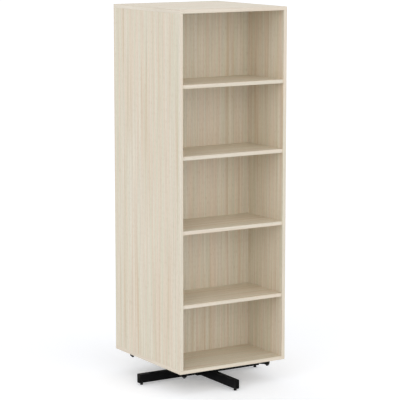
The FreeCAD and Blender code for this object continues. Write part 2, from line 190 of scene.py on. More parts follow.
@dataclass(frozen=True)
class MelamineDecor:
    """Printed wood decor under melamine resin, pressed on chipboard.

    The print gives straight low-contrast streaks of cream, pinkish and greenish beige with a few darker
    growth lines; the press plate gives a satin face with fine pores that run with the grain. Real pores are
    about 0.2 mm wide, and are drawn wider so that they show.

    Attributes:
        name: Name of the finish.
        grain: Direction of the grain.
        cream: Palest tint.
        pinkish: Ground colour of one band.
        greenish: Ground colour of the next band.
        line: Colour of a growth line.
        pore: Colour of a pore.
        roughness: Roughness between the two below.
        smoothest: What the ground's roughness is less than that.
        roughest: What the cream tint's roughness is more than that.
        ior: Index of refraction.
        crossed_beyond: Distance from the middle plane beyond which the grain is crossed, mm.
        bands: Bands of the two ground colours.
        tints: Cream over the bands.
        lines: Growth lines.
        fibres: Small changes of brightness.
        pores: Pores.
        pore_depth: Depth of a pore, mm.
    """

    name: str
    grain: Grain
    cream: str = "#E2DACA"
    pinkish: str = "#DFD0BC"
    greenish: str = "#DAD4BF"
    line: str = "#D0B99B"
    pore: str = "#B2956F"
    roughness: float = 0.44
    smoothest: float = 0.04
    roughest: float = 0.05
    ior: float = 1.4
    crossed_beyond: float = math.inf
    bands: GrainLayer = GrainLayer(16.0, 900.0, 0.4, 0.6)
    tints: GrainLayer = GrainLayer(14.0, 700.0, 0.42, 0.68, most=0.85)
    lines: GrainLayer = GrainLayer(19.0, 900.0, 0.5, 0.8, most=0.75, detail=1.5)
    fibres: GrainLayer = GrainLayer(7.0, 300.0, 0.3, 0.7, least=0.95, most=1.04)
    pores: GrainLayer = GrainLayer(1.0, 26.0, 0.57, 0.7, most=0.45, detail=1.0)
    pore_depth: float = 0.05

    def place(self, tree: Tree) -> Socket:
        """Position in metres, with x and y exchanged where the distance from the middle plane is large.

        The strips round a level board lie beyond that distance on its two sides, and run along Y there.

        Args:
            tree: Node tree that takes the nodes.

        Returns:
            Socket with the position.
        """
        node = partial(add_node, tree)
        position = node("TexCoord")["Object"]
        if math.isinf(self.crossed_beyond):
            return position
        axes = node("SeparateXYZ", {0: position})
        crossed = node("CombineXYZ", {0: axes[1], 1: axes[0], 2: axes[2]})[0]
        away = node("Math", {0: axes[0]}, operation="ABSOLUTE")[0]
        beyond = node("Math", {0: away, 1: self.crossed_beyond * METRES}, operation="GREATER_THAN")[0]
        return node("Mix", {0: beyond, 4: position, 5: crossed}, data_type="VECTOR")[1]

    def material(self) -> Material:
        """Make the decor: tinted streaks, dark growth lines where a slow noise peaks, and pores.

        Returns:
            The material.
        """
        material, tree = blank_material(self.name)
        node = partial(add_node, tree)
        colours = partial(add_node, tree, "Mix", data_type="RGBA")
        position = self.place(tree)
        layers = (self.bands, self.tints, self.lines, self.fibres, self.pores)
        bands, tints, lines, fibres, pores = (layer.value(tree, position, self.grain) for layer in layers)
        ground = colours({0: bands, 6: linear(self.pinkish), 7: linear(self.greenish)})[2]
        paled = colours({0: tints, 6: ground, 7: linear(self.cream)})[2]
        lined = colours({0: lines, 6: paled, 7: linear(self.line)})[2]
        toned = node("VectorMath", {0: lined, "Scale": fibres}, operation="SCALE")[0]
        coloured = colours({0: pores, 6: toned, 7: linear(self.pore)})[2]
        span = {0: tints, 3: self.roughness - self.smoothest, 4: self.roughness + self.roughest}
        gloss = node("MapRange", span)[0]
        relief = {"Strength": 0.5, "Distance": self.pore_depth * METRES, "Height": pores}
        surface = {"IOR": self.ior, "Normal": node("Bump", relief, invert=True)[0]}
        shader = node("BsdfPrincipled", {"Base Color": coloured, "Roughness": gloss, **surface})
        node("OutputMaterial", {0: shader[0]})
        return material


@dataclass(frozen=True)
class Track:
    """Lane of bare ground steel on a bearing plate, where the rollers run.

    Attributes:
        radius: Middle radius of the lane, mm.
        half_width: Half its width, mm.
        level: Height half way between the two plates, mm.
        half_gap: Half the distance between them, mm.
        colour: Colour of the ground steel.
        roughness: Roughness of the ground steel.
    """

    radius: float
    half_width: float
    level: float
    half_gap: float
    colour: str = "#9C9B97"
    roughness: float = 0.24

    def share(self, tree: Tree, position: Socket) -> Socket:
        """1 where radius and height both lie within the lane's, 0 elsewhere.

        Args:
            tree: Node tree that takes the nodes.
            position: Socket with the position in metres.

        Returns:
            Socket with the share of bare steel.
        """
        node = partial(add_node, tree)
        level = node("SeparateXYZ", {0: position})[2]
        flat = node("VectorMath", {0: position, 1: (1, 1, 0)}, operation="MULTIPLY")[0]
        away = node("VectorMath", {0: flat}, operation="LENGTH")[1]
        near = {0: away, 1: self.radius * METRES, 2: self.half_width * METRES}
        between = {0: level, 1: self.level * METRES, 2: self.half_gap * METRES}
        factors = [node("Math", inputs, operation="COMPARE")[0] for inputs in (near, between)]
        return node("Math", dict(enumerate(factors)), operation="MULTIPLY")[0]


@dataclass(frozen=True)
class Coating:
    """A paint, plastic or blackened surface that varies a little, with a paler highlight painted on its
    arrises.

    Real grit is 0.1 to 0.2 mm in size, and is drawn coarser so that it shows.

    Attributes:
        name: Name of the finish.
        colour: Main colour.
        second: Colour of the cloudy variation.
        dust: Colour of what settles in patches.
        painted_highlight_colour: Colour of the highlight painted on an arris.
        grit: Size of the surface's grit, mm.
        grit_depth: Height of the grit, mm.
        cloud: Size of the cloudy variation, mm.
        roughness: Roughness away from the patches.
        ior: Index of refraction.
        dusting: Share of dust colour in a patch.
        dust_span: Cloud noise at which dust starts to show, and at which it lies fully.
        highlight_cloud: Weight of the cloud noise that is added to an arris's share of painted highlight.
        highlight_span: Sum of both at which the painted highlight starts to show, and at which it shows
            fully.
        grit_span: Grit noise of the smoothest and of the roughest spots.
        gloss_spread: What those spots' roughness differs by from the middle.
        track: Lane of bare steel, if there is one.
    """

    name: str
    colour: str
    second: str
    dust: str
    painted_highlight_colour: str
    grit: float
    grit_depth: float
    cloud: float
    roughness: float
    ior: float = 1.5
    dusting: float = 0.12
    dust_span: tuple[float, float] = (0.52, 0.72)
    highlight_cloud: float = 1.4
    highlight_span: tuple[float, float] = (1.4, 1.85)
    grit_span: tuple[float, float] = (0.3, 0.7)
    gloss_spread: float = 0.06
    track: Track | None = None

    def material(self) -> Material:
        """Make the coating: cloudy colour, dust, a painted highlight on the arrises, grit as bump and in the
        roughness.

        Returns:
            The material.
        """
        material, tree = blank_material(self.name)
        node = partial(add_node, tree)
        colours = partial(add_node, tree, "Mix", data_type="RGBA")
        ranges = partial(add_node, tree, "MapRange", interpolation_type="SMOOTHSTEP")
        position = node("TexCoord")["Object"]
        cloud = node("TexNoise", {"Vector": position, "Scale": 1 / (self.cloud * METRES), "Detail": 4.0})[0]
        grit = node("TexNoise", {"Vector": position, "Scale": 1 / (self.grit * METRES), "Detail": 1.0})[0]
        patch = ranges({0: cloud, 1: self.dust_span[0], 2: self.dust_span[1], 4: self.dusting})[0]
        # Painted highlight: a paler colour on rounded arrises, where the arris share plus cloud noise is
        # high.
        arris = node("Attribute", attribute_name=PAINTED_HIGHLIGHT)["Fac"]
        highlight_weight = node("Math", {0: cloud, 1: self.highlight_cloud, 2: arris}, operation="MULTIPLY_ADD")[0]
        painted_highlight = ranges({0: highlight_weight, 1: self.highlight_span[0], 2: self.highlight_span[1]})[0]
        clouded = colours({0: cloud, 6: linear(self.colour), 7: linear(self.second)})[2]
        dusted = colours({0: patch, 6: clouded, 7: linear(self.dust)})[2]
        colour = colours({0: painted_highlight, 6: dusted, 7: linear(self.painted_highlight_colour)})[2]
        smoothest, roughest = self.roughness - self.gloss_spread, self.roughness + self.gloss_spread
        span = {0: grit, 1: self.grit_span[0], 2: self.grit_span[1], 3: smoothest, 4: roughest}
        gloss = node("MapRange", span)[0]
        relief = {"Strength": 0.5, "Distance": self.grit_depth * METRES, "Height": grit}
        surface = {"IOR": self.ior, "Normal": node("Bump", relief)[0]}
        if self.track:
            bare = self.track.share(tree, position)
            colour = colours({0: bare, 6: colour, 7: linear(self.track.colour)})[2]
            gloss = node("Mix", {0: bare, 2: gloss, 3: self.track.roughness})[0]
            surface["Metallic"] = bare
        shader = node("BsdfPrincipled", {"Base Color": colour, "Roughness": gloss, **surface})
        node("OutputMaterial", {0: shader[0]})
        return material


@dataclass(frozen=True)
class Metal:
    """A bare or plated metal with fine machining lines and a thin film in patches.

    Real machining lines lie less than 0.1 mm apart, and are drawn wider so that they show.

    Attributes:
        name: Name of the finish.
        colour: Colour of the clean metal.
        film: Colour under the oil or passivation film.
        roughness: Roughness of the clean metal.
        film_size: Size of the film's patches, mm.
        line_pitch: Spacing of the machining lines, mm.
        line_depth: Depth of the machining lines, mm.
        line_length: Length of a machining line over its spacing.
        film_span: Noise at which the film starts to show, and at which it lies fully.
        film_gloss: What the roughness rises by under the film.
    """

    name: str
    colour: str
    film: str
    roughness: float
    film_size: float
    line_pitch: float
    line_depth: float
    line_length: float = 20.0
    film_span: tuple[float, float] = (0.4, 0.65)
    film_gloss: float = 0.14

    def material(self) -> Material:
        """Make the metal: film patches in colour and roughness, and level lines as a lathe leaves them.

        Returns:
            The material.
        """
        material, tree = blank_material(self.name)
        node = partial(add_node, tree)
        position = node("TexCoord")["Object"]
        patches = {"Vector": position, "Scale": 1 / (self.film_size * METRES), "Detail": 3.0}
        film = {0: node("TexNoise", patches)[0], 1: self.film_span[0], 2: self.film_span[1]}
        share = node("MapRange", film, interpolation_type="SMOOTHSTEP")[0]
        ends = {0: share, 6: linear(self.colour), 7: linear(self.film)}
        colour = node("Mix", ends, data_type="RGBA")[2]
        fine = 1 / (self.line_pitch * METRES)
        along = fine / self.line_length
        drawn = node("Mapping", {"Vector": position, "Scale": (along, along, fine)})[0]
        lines = node("TexNoise", {"Vector": drawn, "Scale": 1.0, "Detail": 0.0})[0]
        gloss = node("MapRange", {0: share, 3: self.roughness, 4: self.roughness + self.film_gloss})[0]
        relief = {"Strength": 0.3, "Distance": self.line_depth * METRES, "Height": lines}
        surface = {"Metallic": 1.0, "Roughness": gloss, "Normal": node("Bump", relief)[0]}
        node("OutputMaterial", {0: node("BsdfPrincipled", {"Base Color": colour, **surface})[0]})
        return material


@dataclass(frozen=True)
class Plywood:
    """Raw birch plywood of the loose tongues: thin plies that show as stripes on every edge.

    Attributes:
        name: Name of the finish.
        pale: Colour of a ply seen along its grain.
        dark: Colour of a ply seen on its end grain.
        ply: Thickness of a ply, mm.
        waves_per_unit: Waves of the band pattern over a length of 1 at a scale of 1.
        roughness: Roughness of the sawn wood.
    """

    name: str = "birch_plywood_raw"
    pale: str = "#CFAF83"
    dark: str = "#A67E50"
    ply: float = 1.3
    waves_per_unit: float = 0.31
    roughness: float = 0.7

    def material(self) -> Material:
        """Make the plywood: a wave band for each ply, aslant so that it shows on every face.

        Returns:
            The material.
        """
        material, tree = blank_material(self.name)
        node = partial(add_node, tree)
        scale = self.waves_per_unit / (self.ply * METRES)
        wave = {"Vector": node("TexCoord")["Object"], "Scale": scale, "Distortion": 0.4, "Detail": 1.0}
        bands = node("TexWave", wave, bands_direction="DIAGONAL")["Fac"]
        colour = node("Mix", {0: bands, 6: linear(self.pale), 7: linear(self.dark)}, data_type="RGBA")[2]
        shader = node("BsdfPrincipled", {"Base Color": colour, "Roughness": self.roughness})
        node("OutputMaterial", {0: shader[0]})
        return material


@dataclass(frozen=True)
class Palette:
    """Every finish on the cabinet, made once and shared by the pieces."""

    upright_decor: Material
    level_decor: Material
    upright_edging: Material
    level_edging: Material
    powder_coat: Material
    tracked_plate: Material
    moulded_plastic: Material
    blackened_screw: Material
    zinc_plate: Material
    bearing_steel: Material
    nylon: Material
    bronze: Material
    plywood: Material

    @classmethod
    def make(cls, track: Track) -> Palette:
        """Make every finish.

        Args:
            track: Lane of the rollers on the bearing plates.

        Returns:
            The palette.
        """
        # Polyester powder coat, baked on steel: matt black with a fine grit, and a grey highlight painted on
        # its arrises.
        coat = partial(
            Coating, colour="#08080A", second="#0D0D0E", dust="#222221", painted_highlight_colour="#3A3A3B",
            grit=0.9, grit_depth=0.05, cloud=60.0, roughness=0.55, ior=1.17,
        )
        # ABS edge strip, printed and lacquered: a shade paler and glossier than the board.
        strip = partial(
            MelamineDecor, cream="#E3DACB", pinkish="#E0D3C1", greenish="#DCD4C2", line="#D7C8B1",
            pore="#C2AE8E", roughness=0.38,
        )
        finishes: dict[str, Finish] = {
            # Melamine-faced chipboard, pressed: satin, streaks with the grain.
            "upright_decor": MelamineDecor("melamine_decor_upright", Grain.ALONG_Z),
            "level_decor": MelamineDecor("melamine_decor_level", Grain.ALONG_X),
            "upright_edging": strip("abs_edging_upright", Grain.ALONG_Z),
            "level_edging": strip("abs_edging_level", Grain.ALONG_X, crossed_beyond=297.9),
            "powder_coat": coat("powder_coat_black"),
            "tracked_plate": coat("powder_coat_and_ground_track", track=track),
            # Polypropylene, injection moulded in an eroded tool: dull black, with a paler highlight painted
            # on its rims.
            "moulded_plastic": Coating(
                "polypropylene_black", colour="#080808", second="#0D0D0D", dust="#242322", painted_highlight_colour="#3A3938",
                grit=0.45, grit_depth=0.03, cloud=25.0, roughness=0.6, ior=1.15,
            ),
            # Phosphated and blackened screw steel: near black, with a grey highlight painted on its arrises.
            "blackened_screw": Coating(
                "steel_blackened", colour="#121213", second="#191A1C", dust="#2E2F32", painted_highlight_colour="#55565A",
                grit=0.3, grit_depth=0.01, cloud=6.0, roughness=0.42, ior=1.4,
            ),
            # Zinc plated and clear passivated steel: bright with a faint blue and yellow film.
            "zinc_plate": Metal(
                "zinc_plated_steel", colour="#BFC3C8", film="#B9B6A4", roughness=0.28,
                film_size=9.0, line_pitch=0.5, line_depth=0.01,
            ),
            # Ground bearing steel under a thin film of grease.
            "bearing_steel": Metal(
                "bearing_steel_ground", colour="#B4B5B7", film="#8E8568", roughness=0.18,
                film_size=7.0, line_pitch=0.25, line_depth=0.004,
            ),
            # Natural polyamide, moulded: creamy and waxy.
            "nylon": Coating(
                "polyamide_natural", colour="#DAD2BC", second="#D0C6AC", dust="#8F8468", painted_highlight_colour="#E6E0D0",
                grit=0.8, grit_depth=0.02, cloud=14.0, roughness=0.45,
            ),
            # Sintered bronze, soaked in oil: brown-gold with open pores.
            "bronze": Metal(
                "bronze_sintered", colour="#A67C4A", film="#7A5A38", roughness=0.38,
                film_size=4.0, line_pitch=0.3, line_depth=0.03, line_length=1.0,
            ),
            # Birch plywood, sawn: raw, with light and dark plies.
            "plywood": Plywood(),
        }
        return cls(**{name: finish.material() for name, finish in finishes.items()})


# ---------------------------------------------------------------------------- surfaces
@dataclass(frozen=True)
class Surface:
    """Points in millimetres and the faces between them."""

    points: Array
    faces: list[list[int]]

    @staticmethod
    def joined(parts: Sequence[Surface]) -> Surface:
        """Join several surfaces into one.

        Args:
            parts: Surfaces, each with its own numbering.

        Returns:
            One surface with the faces renumbered.
        """
        starts = np.cumsum([0] + [len(part.points) for part in parts[:-1]]).tolist()
        faces = [
            [index + start for index in face]
            for start, part in zip(starts, parts)
            for face in part.faces
        ]
        return Surface(np.concatenate([part.points for part in parts]), faces)

    def turned(self, degrees: float) -> Surface:
        """Turn about the Z axis: (x, y) becomes (x cos a - y sin a, x sin a + y cos a).

        Args:
            degrees: Angle a, anticlockwise from above.

        Returns:
            The turned surface.
        """
        cosine, sine = math.cos(math.radians(degrees)), math.sin(math.radians(degrees))
        matrix = np.array([[cosine, sine, 0], [-sine, cosine, 0], [0, 0, 1]])
        return Surface(self.points @ matrix, self.faces)

    def moved(self, x: float = 0.0, y: float = 0.0, z: float = 0.0) -> Surface:
        """Add one offset to every point."""
        return Surface(self.points + np.array([x, y, z]), self.faces)

    def mirrored(self, axis: int) -> Surface:
        """Change the sign of one coordinate of every point."""
        return Surface(self.points * np.where(np.arange(3) == axis, -1, 1), self.faces)

    def laid(self) -> Surface:
        """Lay an upright shape along X: (x, y, z) becomes (z, x, y)."""
        return Surface(self.points[:, [2, 0, 1]], self.faces)


def grid_faces(rows: int, columns: int, wrap_rows: bool, wrap_columns: bool) -> list[list[int]]:
    """Number the quads of a grid of points, row after row.

    Args:
        rows: Rows of points.
        columns: Points in a row.
        wrap_rows: Whether the last row meets the first.
        wrap_columns: Whether the last point of a row meets its first.

    Returns:
        One list of four point numbers for each quad.
    """
    row = np.arange(rows if wrap_rows else rows - 1)[:, None]
    column = np.arange(columns if wrap_columns else columns - 1)[None, :]
    after_row, after_column = (row + 1) % rows, (column + 1) % columns
    corners = [
        row * columns + column,
        row * columns + after_column,
        after_row * columns + after_column,
        after_row * columns + column,
    ]
    return np.stack(np.broadcast_arrays(*corners), axis=-1).reshape(-1, 4).tolist()


def band(first: Array, second: Array) -> list[list[int]]:
    """Quads between two closed loops of point numbers: two of the first loop, then two of the second."""
    return np.stack([first, np.roll(first, -1), np.roll(second, -1), second], axis=1).tolist()


def rounded_outline(corners: Array, rounding: float, steps: int = CORNER_STEPS, inset: float = 0.0) -> Array:
    """Outline of a convex polygon with rounded corners.

    Each corner is an arc: its centre, plus the radius times the unit vector that turns evenly from one side's
    normal to the next. The radius is the rounding less the inset, as far as the least rounding allows. The
    centre is the corner moved in by (inset + radius) times the two normals' sum over one plus the cosine of
    the angle between them.

    Args:
        corners: The polygon's corners, anticlockwise, one row each.
        rounding: Radius of the corners before the outline is moved.
        steps: Points on each corner.
        inset: How far the whole outline is moved inwards.

    Returns:
        Points of the outline, anticlockwise, one row each.
    """
    side = np.roll(corners, -1, axis=0) - corners
    normal = np.stack([side[:, 1], -side[:, 0]], axis=1) / np.linalg.norm(side, axis=1, keepdims=True)
    before = np.roll(normal, 1, axis=0)
    start = np.arctan2(before[:, 1], before[:, 0])
    turn = np.mod(np.arctan2(normal[:, 1], normal[:, 0]) - start, 2 * math.pi)
    radius = max(rounding - inset, LEAST_ROUNDING)
    centre = corners - (inset + radius) * (before + normal) / (1 + np.cos(turn))[:, None]
    angle = start[:, None] + turn[:, None] * np.linspace(0, 1, steps)[None, :]
    arc = np.stack([np.cos(angle), np.sin(angle)], axis=-1)
    return (centre[:, None, :] + radius * arc).reshape(-1, 2)


def unit_circle(count: int) -> Array:
    """Points of the unit circle at even angles, the first one on the X axis."""
    angle = np.linspace(0, 2 * math.pi, count, endpoint=False)
    return np.stack([np.cos(angle), np.sin(angle)], axis=1)


def polygon(sides: int, across_flats: float) -> Array:
    """Corners of a regular polygon: half the width over flats, over cos(pi / sides), at even angles."""
    return across_flats / 2 / math.cos(math.pi / sides) * unit_circle(sides)


def rectangle(width: float, height: float) -> Array:
    """Corners of a rectangle round the origin, anticlockwise."""
    return np.array([[1, 1], [-1, 1], [-1, -1], [1, -1]]) * np.array([width, height]) / 2


def circle_like(outline: Array, radius: float) -> Array:
    """Circle with one point at the polar angle of each point of an outline."""
    return radius * outline / np.linalg.norm(outline, axis=1, keepdims=True)


def stacked(rows: Sequence[tuple[Array, float]], ring: bool = False) -> Surface:
    """Carry an outline up the Z axis through several rows.

    A point of the surface is (x, y) of its row's outline and the row's height. A ring closes from its last
    row back to its first; anything else is closed by a fan to the middle of each end.

    Args:
        rows: Outlines of equal length, each with its height.
        ring: Whether the shape has a bore.

    Returns:
        A closed surface.
    """
    outlines = np.stack([np.column_stack([outline, np.full(len(outline), level)]) for outline, level in rows])
    count, columns = outlines.shape[:2]
    points = outlines.reshape(-1, 3)
    faces = grid_faces(count, columns, ring, True)
    if ring:
        return Surface(points, faces)
    ends = np.stack([outlines[0].mean(axis=0), outlines[-1].mean(axis=0)])
    column = np.arange(columns)
    following = (column + 1) % columns
    last = (count - 1) * columns
    low = np.stack([np.full(columns, len(points)), following, column], axis=1)
    high = np.stack([np.full(columns, len(points) + 1), last + column, last + following], axis=1)
    return Surface(np.concatenate([points, ends]), faces + low.tolist() + high.tolist())


def edge_roll(corner: float, low: float, high: float, steps: int = 4) -> list[tuple[float, float]]:
    """Profile of a block with its lower and upper arrises rolled over.

    On each arris a quarter circle of the corner radius: inset r (1 - sin t), height r (1 - cos t) from the
    end, with t from 0 to a right angle.

    Args:
        corner: Radius of the arris.
        low: Height of the lower end.
        high: Height of the upper end.
        steps: Points on each arris.

    Returns:
        Pairs of inset and height, upwards.
    """
    t = np.linspace(0, math.pi / 2, steps)
    inset, rise = corner * (1 - np.sin(t)), corner * (1 - np.cos(t))
    lower = list(zip(inset.tolist(), (low + rise).tolist()))
    upper = list(zip(inset[::-1].tolist(), (high - rise[::-1]).tolist()))
    return lower + upper


@dataclass(frozen=True)
class Block:
    """Block on a convex outline whose upright corners and level arrises are all rounded.

    Attributes:
        corners: Corners of the outline, anticlockwise.
        rounding: Radius of the upright corners.
        arris: Radius of the level arrises.
        low: Height of the lower face.
        high: Height of the upper face.
        steps: Points on each upright corner.
    """

    corners: Array
    rounding: float
    arris: float
    low: float
    high: float
    steps: int = CORNER_STEPS

    def rows(self) -> list[tuple[Array, float]]:
        """Outline at each height of the rolled profile."""
        profile = edge_roll(self.arris, self.low, self.high)
        return [(rounded_outline(self.corners, self.rounding, self.steps, inset), z) for inset, z in profile]

    def solid(self) -> Surface:
        """Block without a bore."""
        return stacked(self.rows())

    def bored(self, bore: float) -> Surface:
        """Block round a bore whose mouths are chamfered by half the arris radius.

        Args:
            bore: Diameter of the bore.

        Returns:
            A closed ring.
        """
        outer, hole, mouth = self.rows(), bore / 2, self.arris / 2
        upper = [(hole + mouth, self.high), (hole, self.high - mouth)]
        lower = [(hole, self.low + mouth), (hole + mouth, self.low)]
        wall = [(circle_like(outer[0][0], radius), level) for radius, level in upper + lower]
        return stacked(outer + wall, ring=True)


def turned_body(profile: Sequence[tuple[float, float]], around: int = 48, ring: bool = False) -> Surface:
    """Body of revolution about Z: each pair of radius and height sweeps a full circle.

    Args:
        profile: Pairs of radius and height.
        around: Points in the circle.
        ring: Whether the profile closes on itself round a bore.

    Returns:
        A closed surface.
    """
    return stacked([(unit_circle(around) * radius, level) for radius, level in profile], ring)


@dataclass(frozen=True)
class HexagonNut:
    """Hexagon nut or bolt head with its corners turned down at both ends.

    The radius at an angle is the hexagon's, half the width over flats over the cosine of the angle from the
    nearest flat's middle. Each end falls by the tangent of the chamfer's angle times what the radius exceeds
    the flats by, and by the rim.

    Attributes:
        across_flats: Width over flats.
        bore: Diameter of the bore.
        low: Height of the lower end.
        high: Height of the upper end.
        steps: Points on each flat.
        face: Diameter of the round end face over the width over flats.
        mouth: Chamfer of the bore.
        rim: Least fall of the end outside that face.
        chamfer_deg: Angle of the turned-down corners, degrees.
    """

    across_flats: float
    bore: float
    low: float
    high: float
    steps: int = 6
    face: float = 0.97
    mouth: float = 0.5
    rim: float = 0.15
    chamfer_deg: float = 30.0

    def solid(self) -> Surface:
        """Carry the rows of radius and height round the Z axis.

        Returns:
            A closed ring.
        """
        count, flat, bore = HEXAGON * self.steps, self.across_flats / 2, self.bore / 2
        angle, wedge = np.linspace(0, 2 * math.pi, count, endpoint=False), 2 * math.pi / HEXAGON
        hexagon = flat / np.cos(np.mod(angle, wedge) - wedge / 2)
        fall = (hexagon - flat) * math.tan(math.radians(self.chamfer_deg)) + self.rim
        rows = [
            (bore + self.mouth, self.low),
            (flat * self.face, self.low),
            (hexagon, self.low + fall),
            (hexagon, self.high - fall),
            (flat * self.face, self.high),
            (bore + self.mouth, self.high),
            (bore, self.high - self.mouth),
            (bore, self.low + self.mouth),
        ]
        radius, level = (np.stack([np.full(count, row[part]) for row in rows])[..., None] for part in (0, 1))
        points = np.concatenate([unit_circle(count) * radius, level], axis=-1)
        return Surface(points.reshape(-1, 3), grid_faces(len(rows), count, True, True))


@dataclass(frozen=True)
class Thread:
    """Rod with a helical thread and turned-down ends.

    The radius at angle a and height z is the outer radius less the depth times a triangle wave of
    z / pitch - a / (2 pi), which rises and falls once for each turn; it shrinks in the last half pitch.

    Attributes:
        diameter: Outer diameter.
        pitch: Rise in one turn.
        depth: Radial depth of the thread.
        around: Points in each turn.
        rows_per_pitch: Rows of points in each pitch.
    """

    diameter: float
    pitch: float
    depth: float
    around: int = 28
    rows_per_pitch: int = 6

    def rod(self, low: float, high: float) -> Surface:
        """Cut the thread on a rod.

        Args:
            low: Height of the rod's lower end.
            high: Height of its upper end.

        Returns:
            A closed surface.
        """
        turn = np.arange(self.around) / self.around
        level = np.linspace(low, high, int((high - low) / self.pitch * self.rows_per_pitch))
        wave = np.abs(2 * np.mod(level[:, None] / self.pitch - turn[None, :], 1.0) - 1)
        taper = np.clip(1 - np.minimum(level - low, high - level) / (self.pitch / 2), 0, 1)[:, None]
        radius = self.diameter / 2 - self.depth * np.maximum(wave, taper)
        outlines = unit_circle(self.around) * radius[..., None]
        return stacked(list(zip(outlines, level.tolist())))


@dataclass(frozen=True)
class WeldBead:
    """Fillet weld up a corner between two upright faces that meet at the origin.

    At angle a its face lies at the leg times (1 + bulge sin 2a) / (cos a + sin a), a straight line between
    the two legs with a slight bulge. It swells with a sine of the height over the ripple's spacing, which
    lags by lag times sin 2a, so that each ripple is a crescent. Over the length of a leg from each end, the
    size falls to its end share with the square root of the distance from that end.

    Attributes:
        leg: Leg of the fillet.
        ripple: Spacing of the ripples.
        rows_per_ripple: Rows of points in each ripple.
        steps: Points across the face.
        bulge: Bulge of the face as a share of its distance from the corner.
        swell: Height of a ripple as a share of the same.
        lag: Lag of a ripple's middle behind its sides, radians.
        end_share: Size at the ends over the size between them.
        root: How far the weld reaches into the two faces, over its size.
    """

    leg: float = 3.0
    ripple: float = 2.6
    rows_per_ripple: int = 8
    steps: int = 7
    bulge: float = 0.15
    swell: float = 1 / 30
    lag: float = 1.5
    end_share: float = 0.35
    root: float = 0.4

    def upright(self, low: float, high: float) -> Surface:
        """Lay the weld up the corner.

        Args:
            low: Height of the lower end.
            high: Height of the upper end.

        Returns:
            A closed surface that fills the quarter with positive x and y.
        """
        level = np.linspace(low, high, int((high - low) / self.ripple * self.rows_per_ripple))
        angle = np.linspace(0, math.pi / 2, self.steps)
        ends = np.sqrt(np.clip(np.minimum(level - low, high - level) / self.leg, 0, 1))
        size = self.leg * (self.end_share + (1 - self.end_share) * ends)[:, None]
        face = (1 + self.bulge * np.sin(2 * angle)) / (np.cos(angle) + np.sin(angle))
        phase = 2 * math.pi * level[:, None] / self.ripple - self.lag * np.sin(2 * angle)
        reach = size * face * (1 + self.swell * np.sin(phase))
        arc = np.stack([np.cos(angle), np.sin(angle)], axis=1) * reach[..., None]
        root = -self.root * np.stack([size, size], axis=-1)
        return stacked(list(zip(np.concatenate([root, arc], axis=1), level.tolist())))


# ---------------------------------------------------------------------------- pieces
def read_rows(items: bpy.types.bpy_prop_collection, name: str, width: int, kind: type) -> Array:
    """Read one property of every item of a mesh.

    Args:
        items: Vertices, edges, loops or polygons.
        name: Name of the property.
        width: Numbers in the property.
        kind: Type of those numbers.

    Returns:
        One row for each item.
    """
    values = np.empty(len(items) * width, dtype=kind)
    items.foreach_get(name, values)
    return values.reshape(-1, width)


def painted_highlight_share(
    mesh: bpy.types.Mesh, gentle: float = 15.5, full: float = 18.0, sharp: float = 40.0
) -> Array:
    """Share of painted highlight at every vertex: 1 on a rounded arris, 0 on flats, in corners and on sharp
    edges.

    Two faces with unit normals a and b bend by 2 acos(|a + b| / 2) over their edge, which stands out where
    the way from its middle to the faces' middles runs against a + b. An edge that stands out takes its share
    from its bend, rising evenly from the gentle to the full angle, and a vertex the largest of its edges.

    Args:
        mesh: Mesh with its faces outwards.
        gentle: Bend up to which no highlight is painted, degrees.
        full: Bend from which an arris takes the full painted highlight, degrees.
        sharp: Bend from which an edge counts as sharp, degrees.

    Returns:
        One value from 0 to 1 for each vertex.
    """
    ends = read_rows(mesh.edges, "vertices", 2, np.int32)
    middle = read_rows(mesh.vertices, "co", 3, np.float32)[ends].mean(axis=1)
    loops = read_rows(mesh.polygons, "loop_total", 1, np.int32)[:, 0]
    face = np.repeat(np.arange(len(loops)), loops)
    edge = read_rows(mesh.loops, "edge_index", 1, np.int32)[:, 0]
    normals, ways = np.zeros((2, len(ends), 3))
    np.add.at(normals, edge, read_rows(mesh.polygons, "normal", 3, np.float32)[face])
    np.add.at(ways, edge, read_rows(mesh.polygons, "center", 3, np.float32)[face] - middle[edge])
    bend = np.degrees(2 * np.arccos(np.clip(np.linalg.norm(normals, axis=1) / 2, 0, 1)))
    outward = (normals * ways).sum(axis=1) < 0
    share = np.clip((bend - gentle) / (full - gentle), 0, 1) * (outward & (bend < sharp))
    painted_highlight = np.zeros(len(mesh.vertices), dtype=np.float32)
    np.maximum.at(painted_highlight, ends, share[:, None].astype(np.float32))
    return painted_highlight


@dataclass(frozen=True)
class Piece:
    """One named piece of the visual model.

    Attributes:
        name: Name of the object.
        surface: Its shape.
        body: Body of the frame that carries it.
        node: Node of the frame it stands for.
        slot: Material slot of the record, not used.
        crease_deg: Angle above which an edge stays sharp.
        merging: Distance at which two points are one.
    """

    name: str
    surface: Surface
    body: str
    node: str
    slot: str
    crease_deg: float = 32.0
    merging: float = 0.002

    def build(self, material: Material) -> bpy.types.Object:
        """Make the mesh, turn its faces outwards, note where the painted arris highlight goes, and hand it to
        the frame.

        Args:
            material: Finish of the whole piece.

        Returns:
            The new object.
        """
        mesh = bpy.data.meshes.new(self.name)
        mesh.from_pydata((self.surface.points * METRES).tolist(), [], self.surface.faces)
        work = bmesh.new()
        work.from_mesh(mesh)
        bmesh.ops.remove_doubles(work, verts=work.verts, dist=self.merging * METRES)
        bmesh.ops.recalc_face_normals(work, faces=work.faces)
        work.to_mesh(mesh)
        work.free()
        mesh.polygons.foreach_set("use_smooth", np.ones(len(mesh.polygons), dtype=bool))
        mesh.set_sharp_from_angle(angle=math.radians(self.crease_deg))
        # Share of the painted arris highlight that the coatings read.
        mesh.attributes.new(PAINTED_HIGHLIGHT, "FLOAT", "POINT").data.foreach_set("value", painted_highlight_share(mesh))
        mesh.materials.append(material)
        made = bpy.data.objects.new(self.name, mesh)
        bpy.context.scene.collection.objects.link(made)
        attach(made, self.body)
        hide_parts(self.node)
        LOG.info("%s: %d faces on %s", self.name, len(mesh.polygons), self.body)
        return made


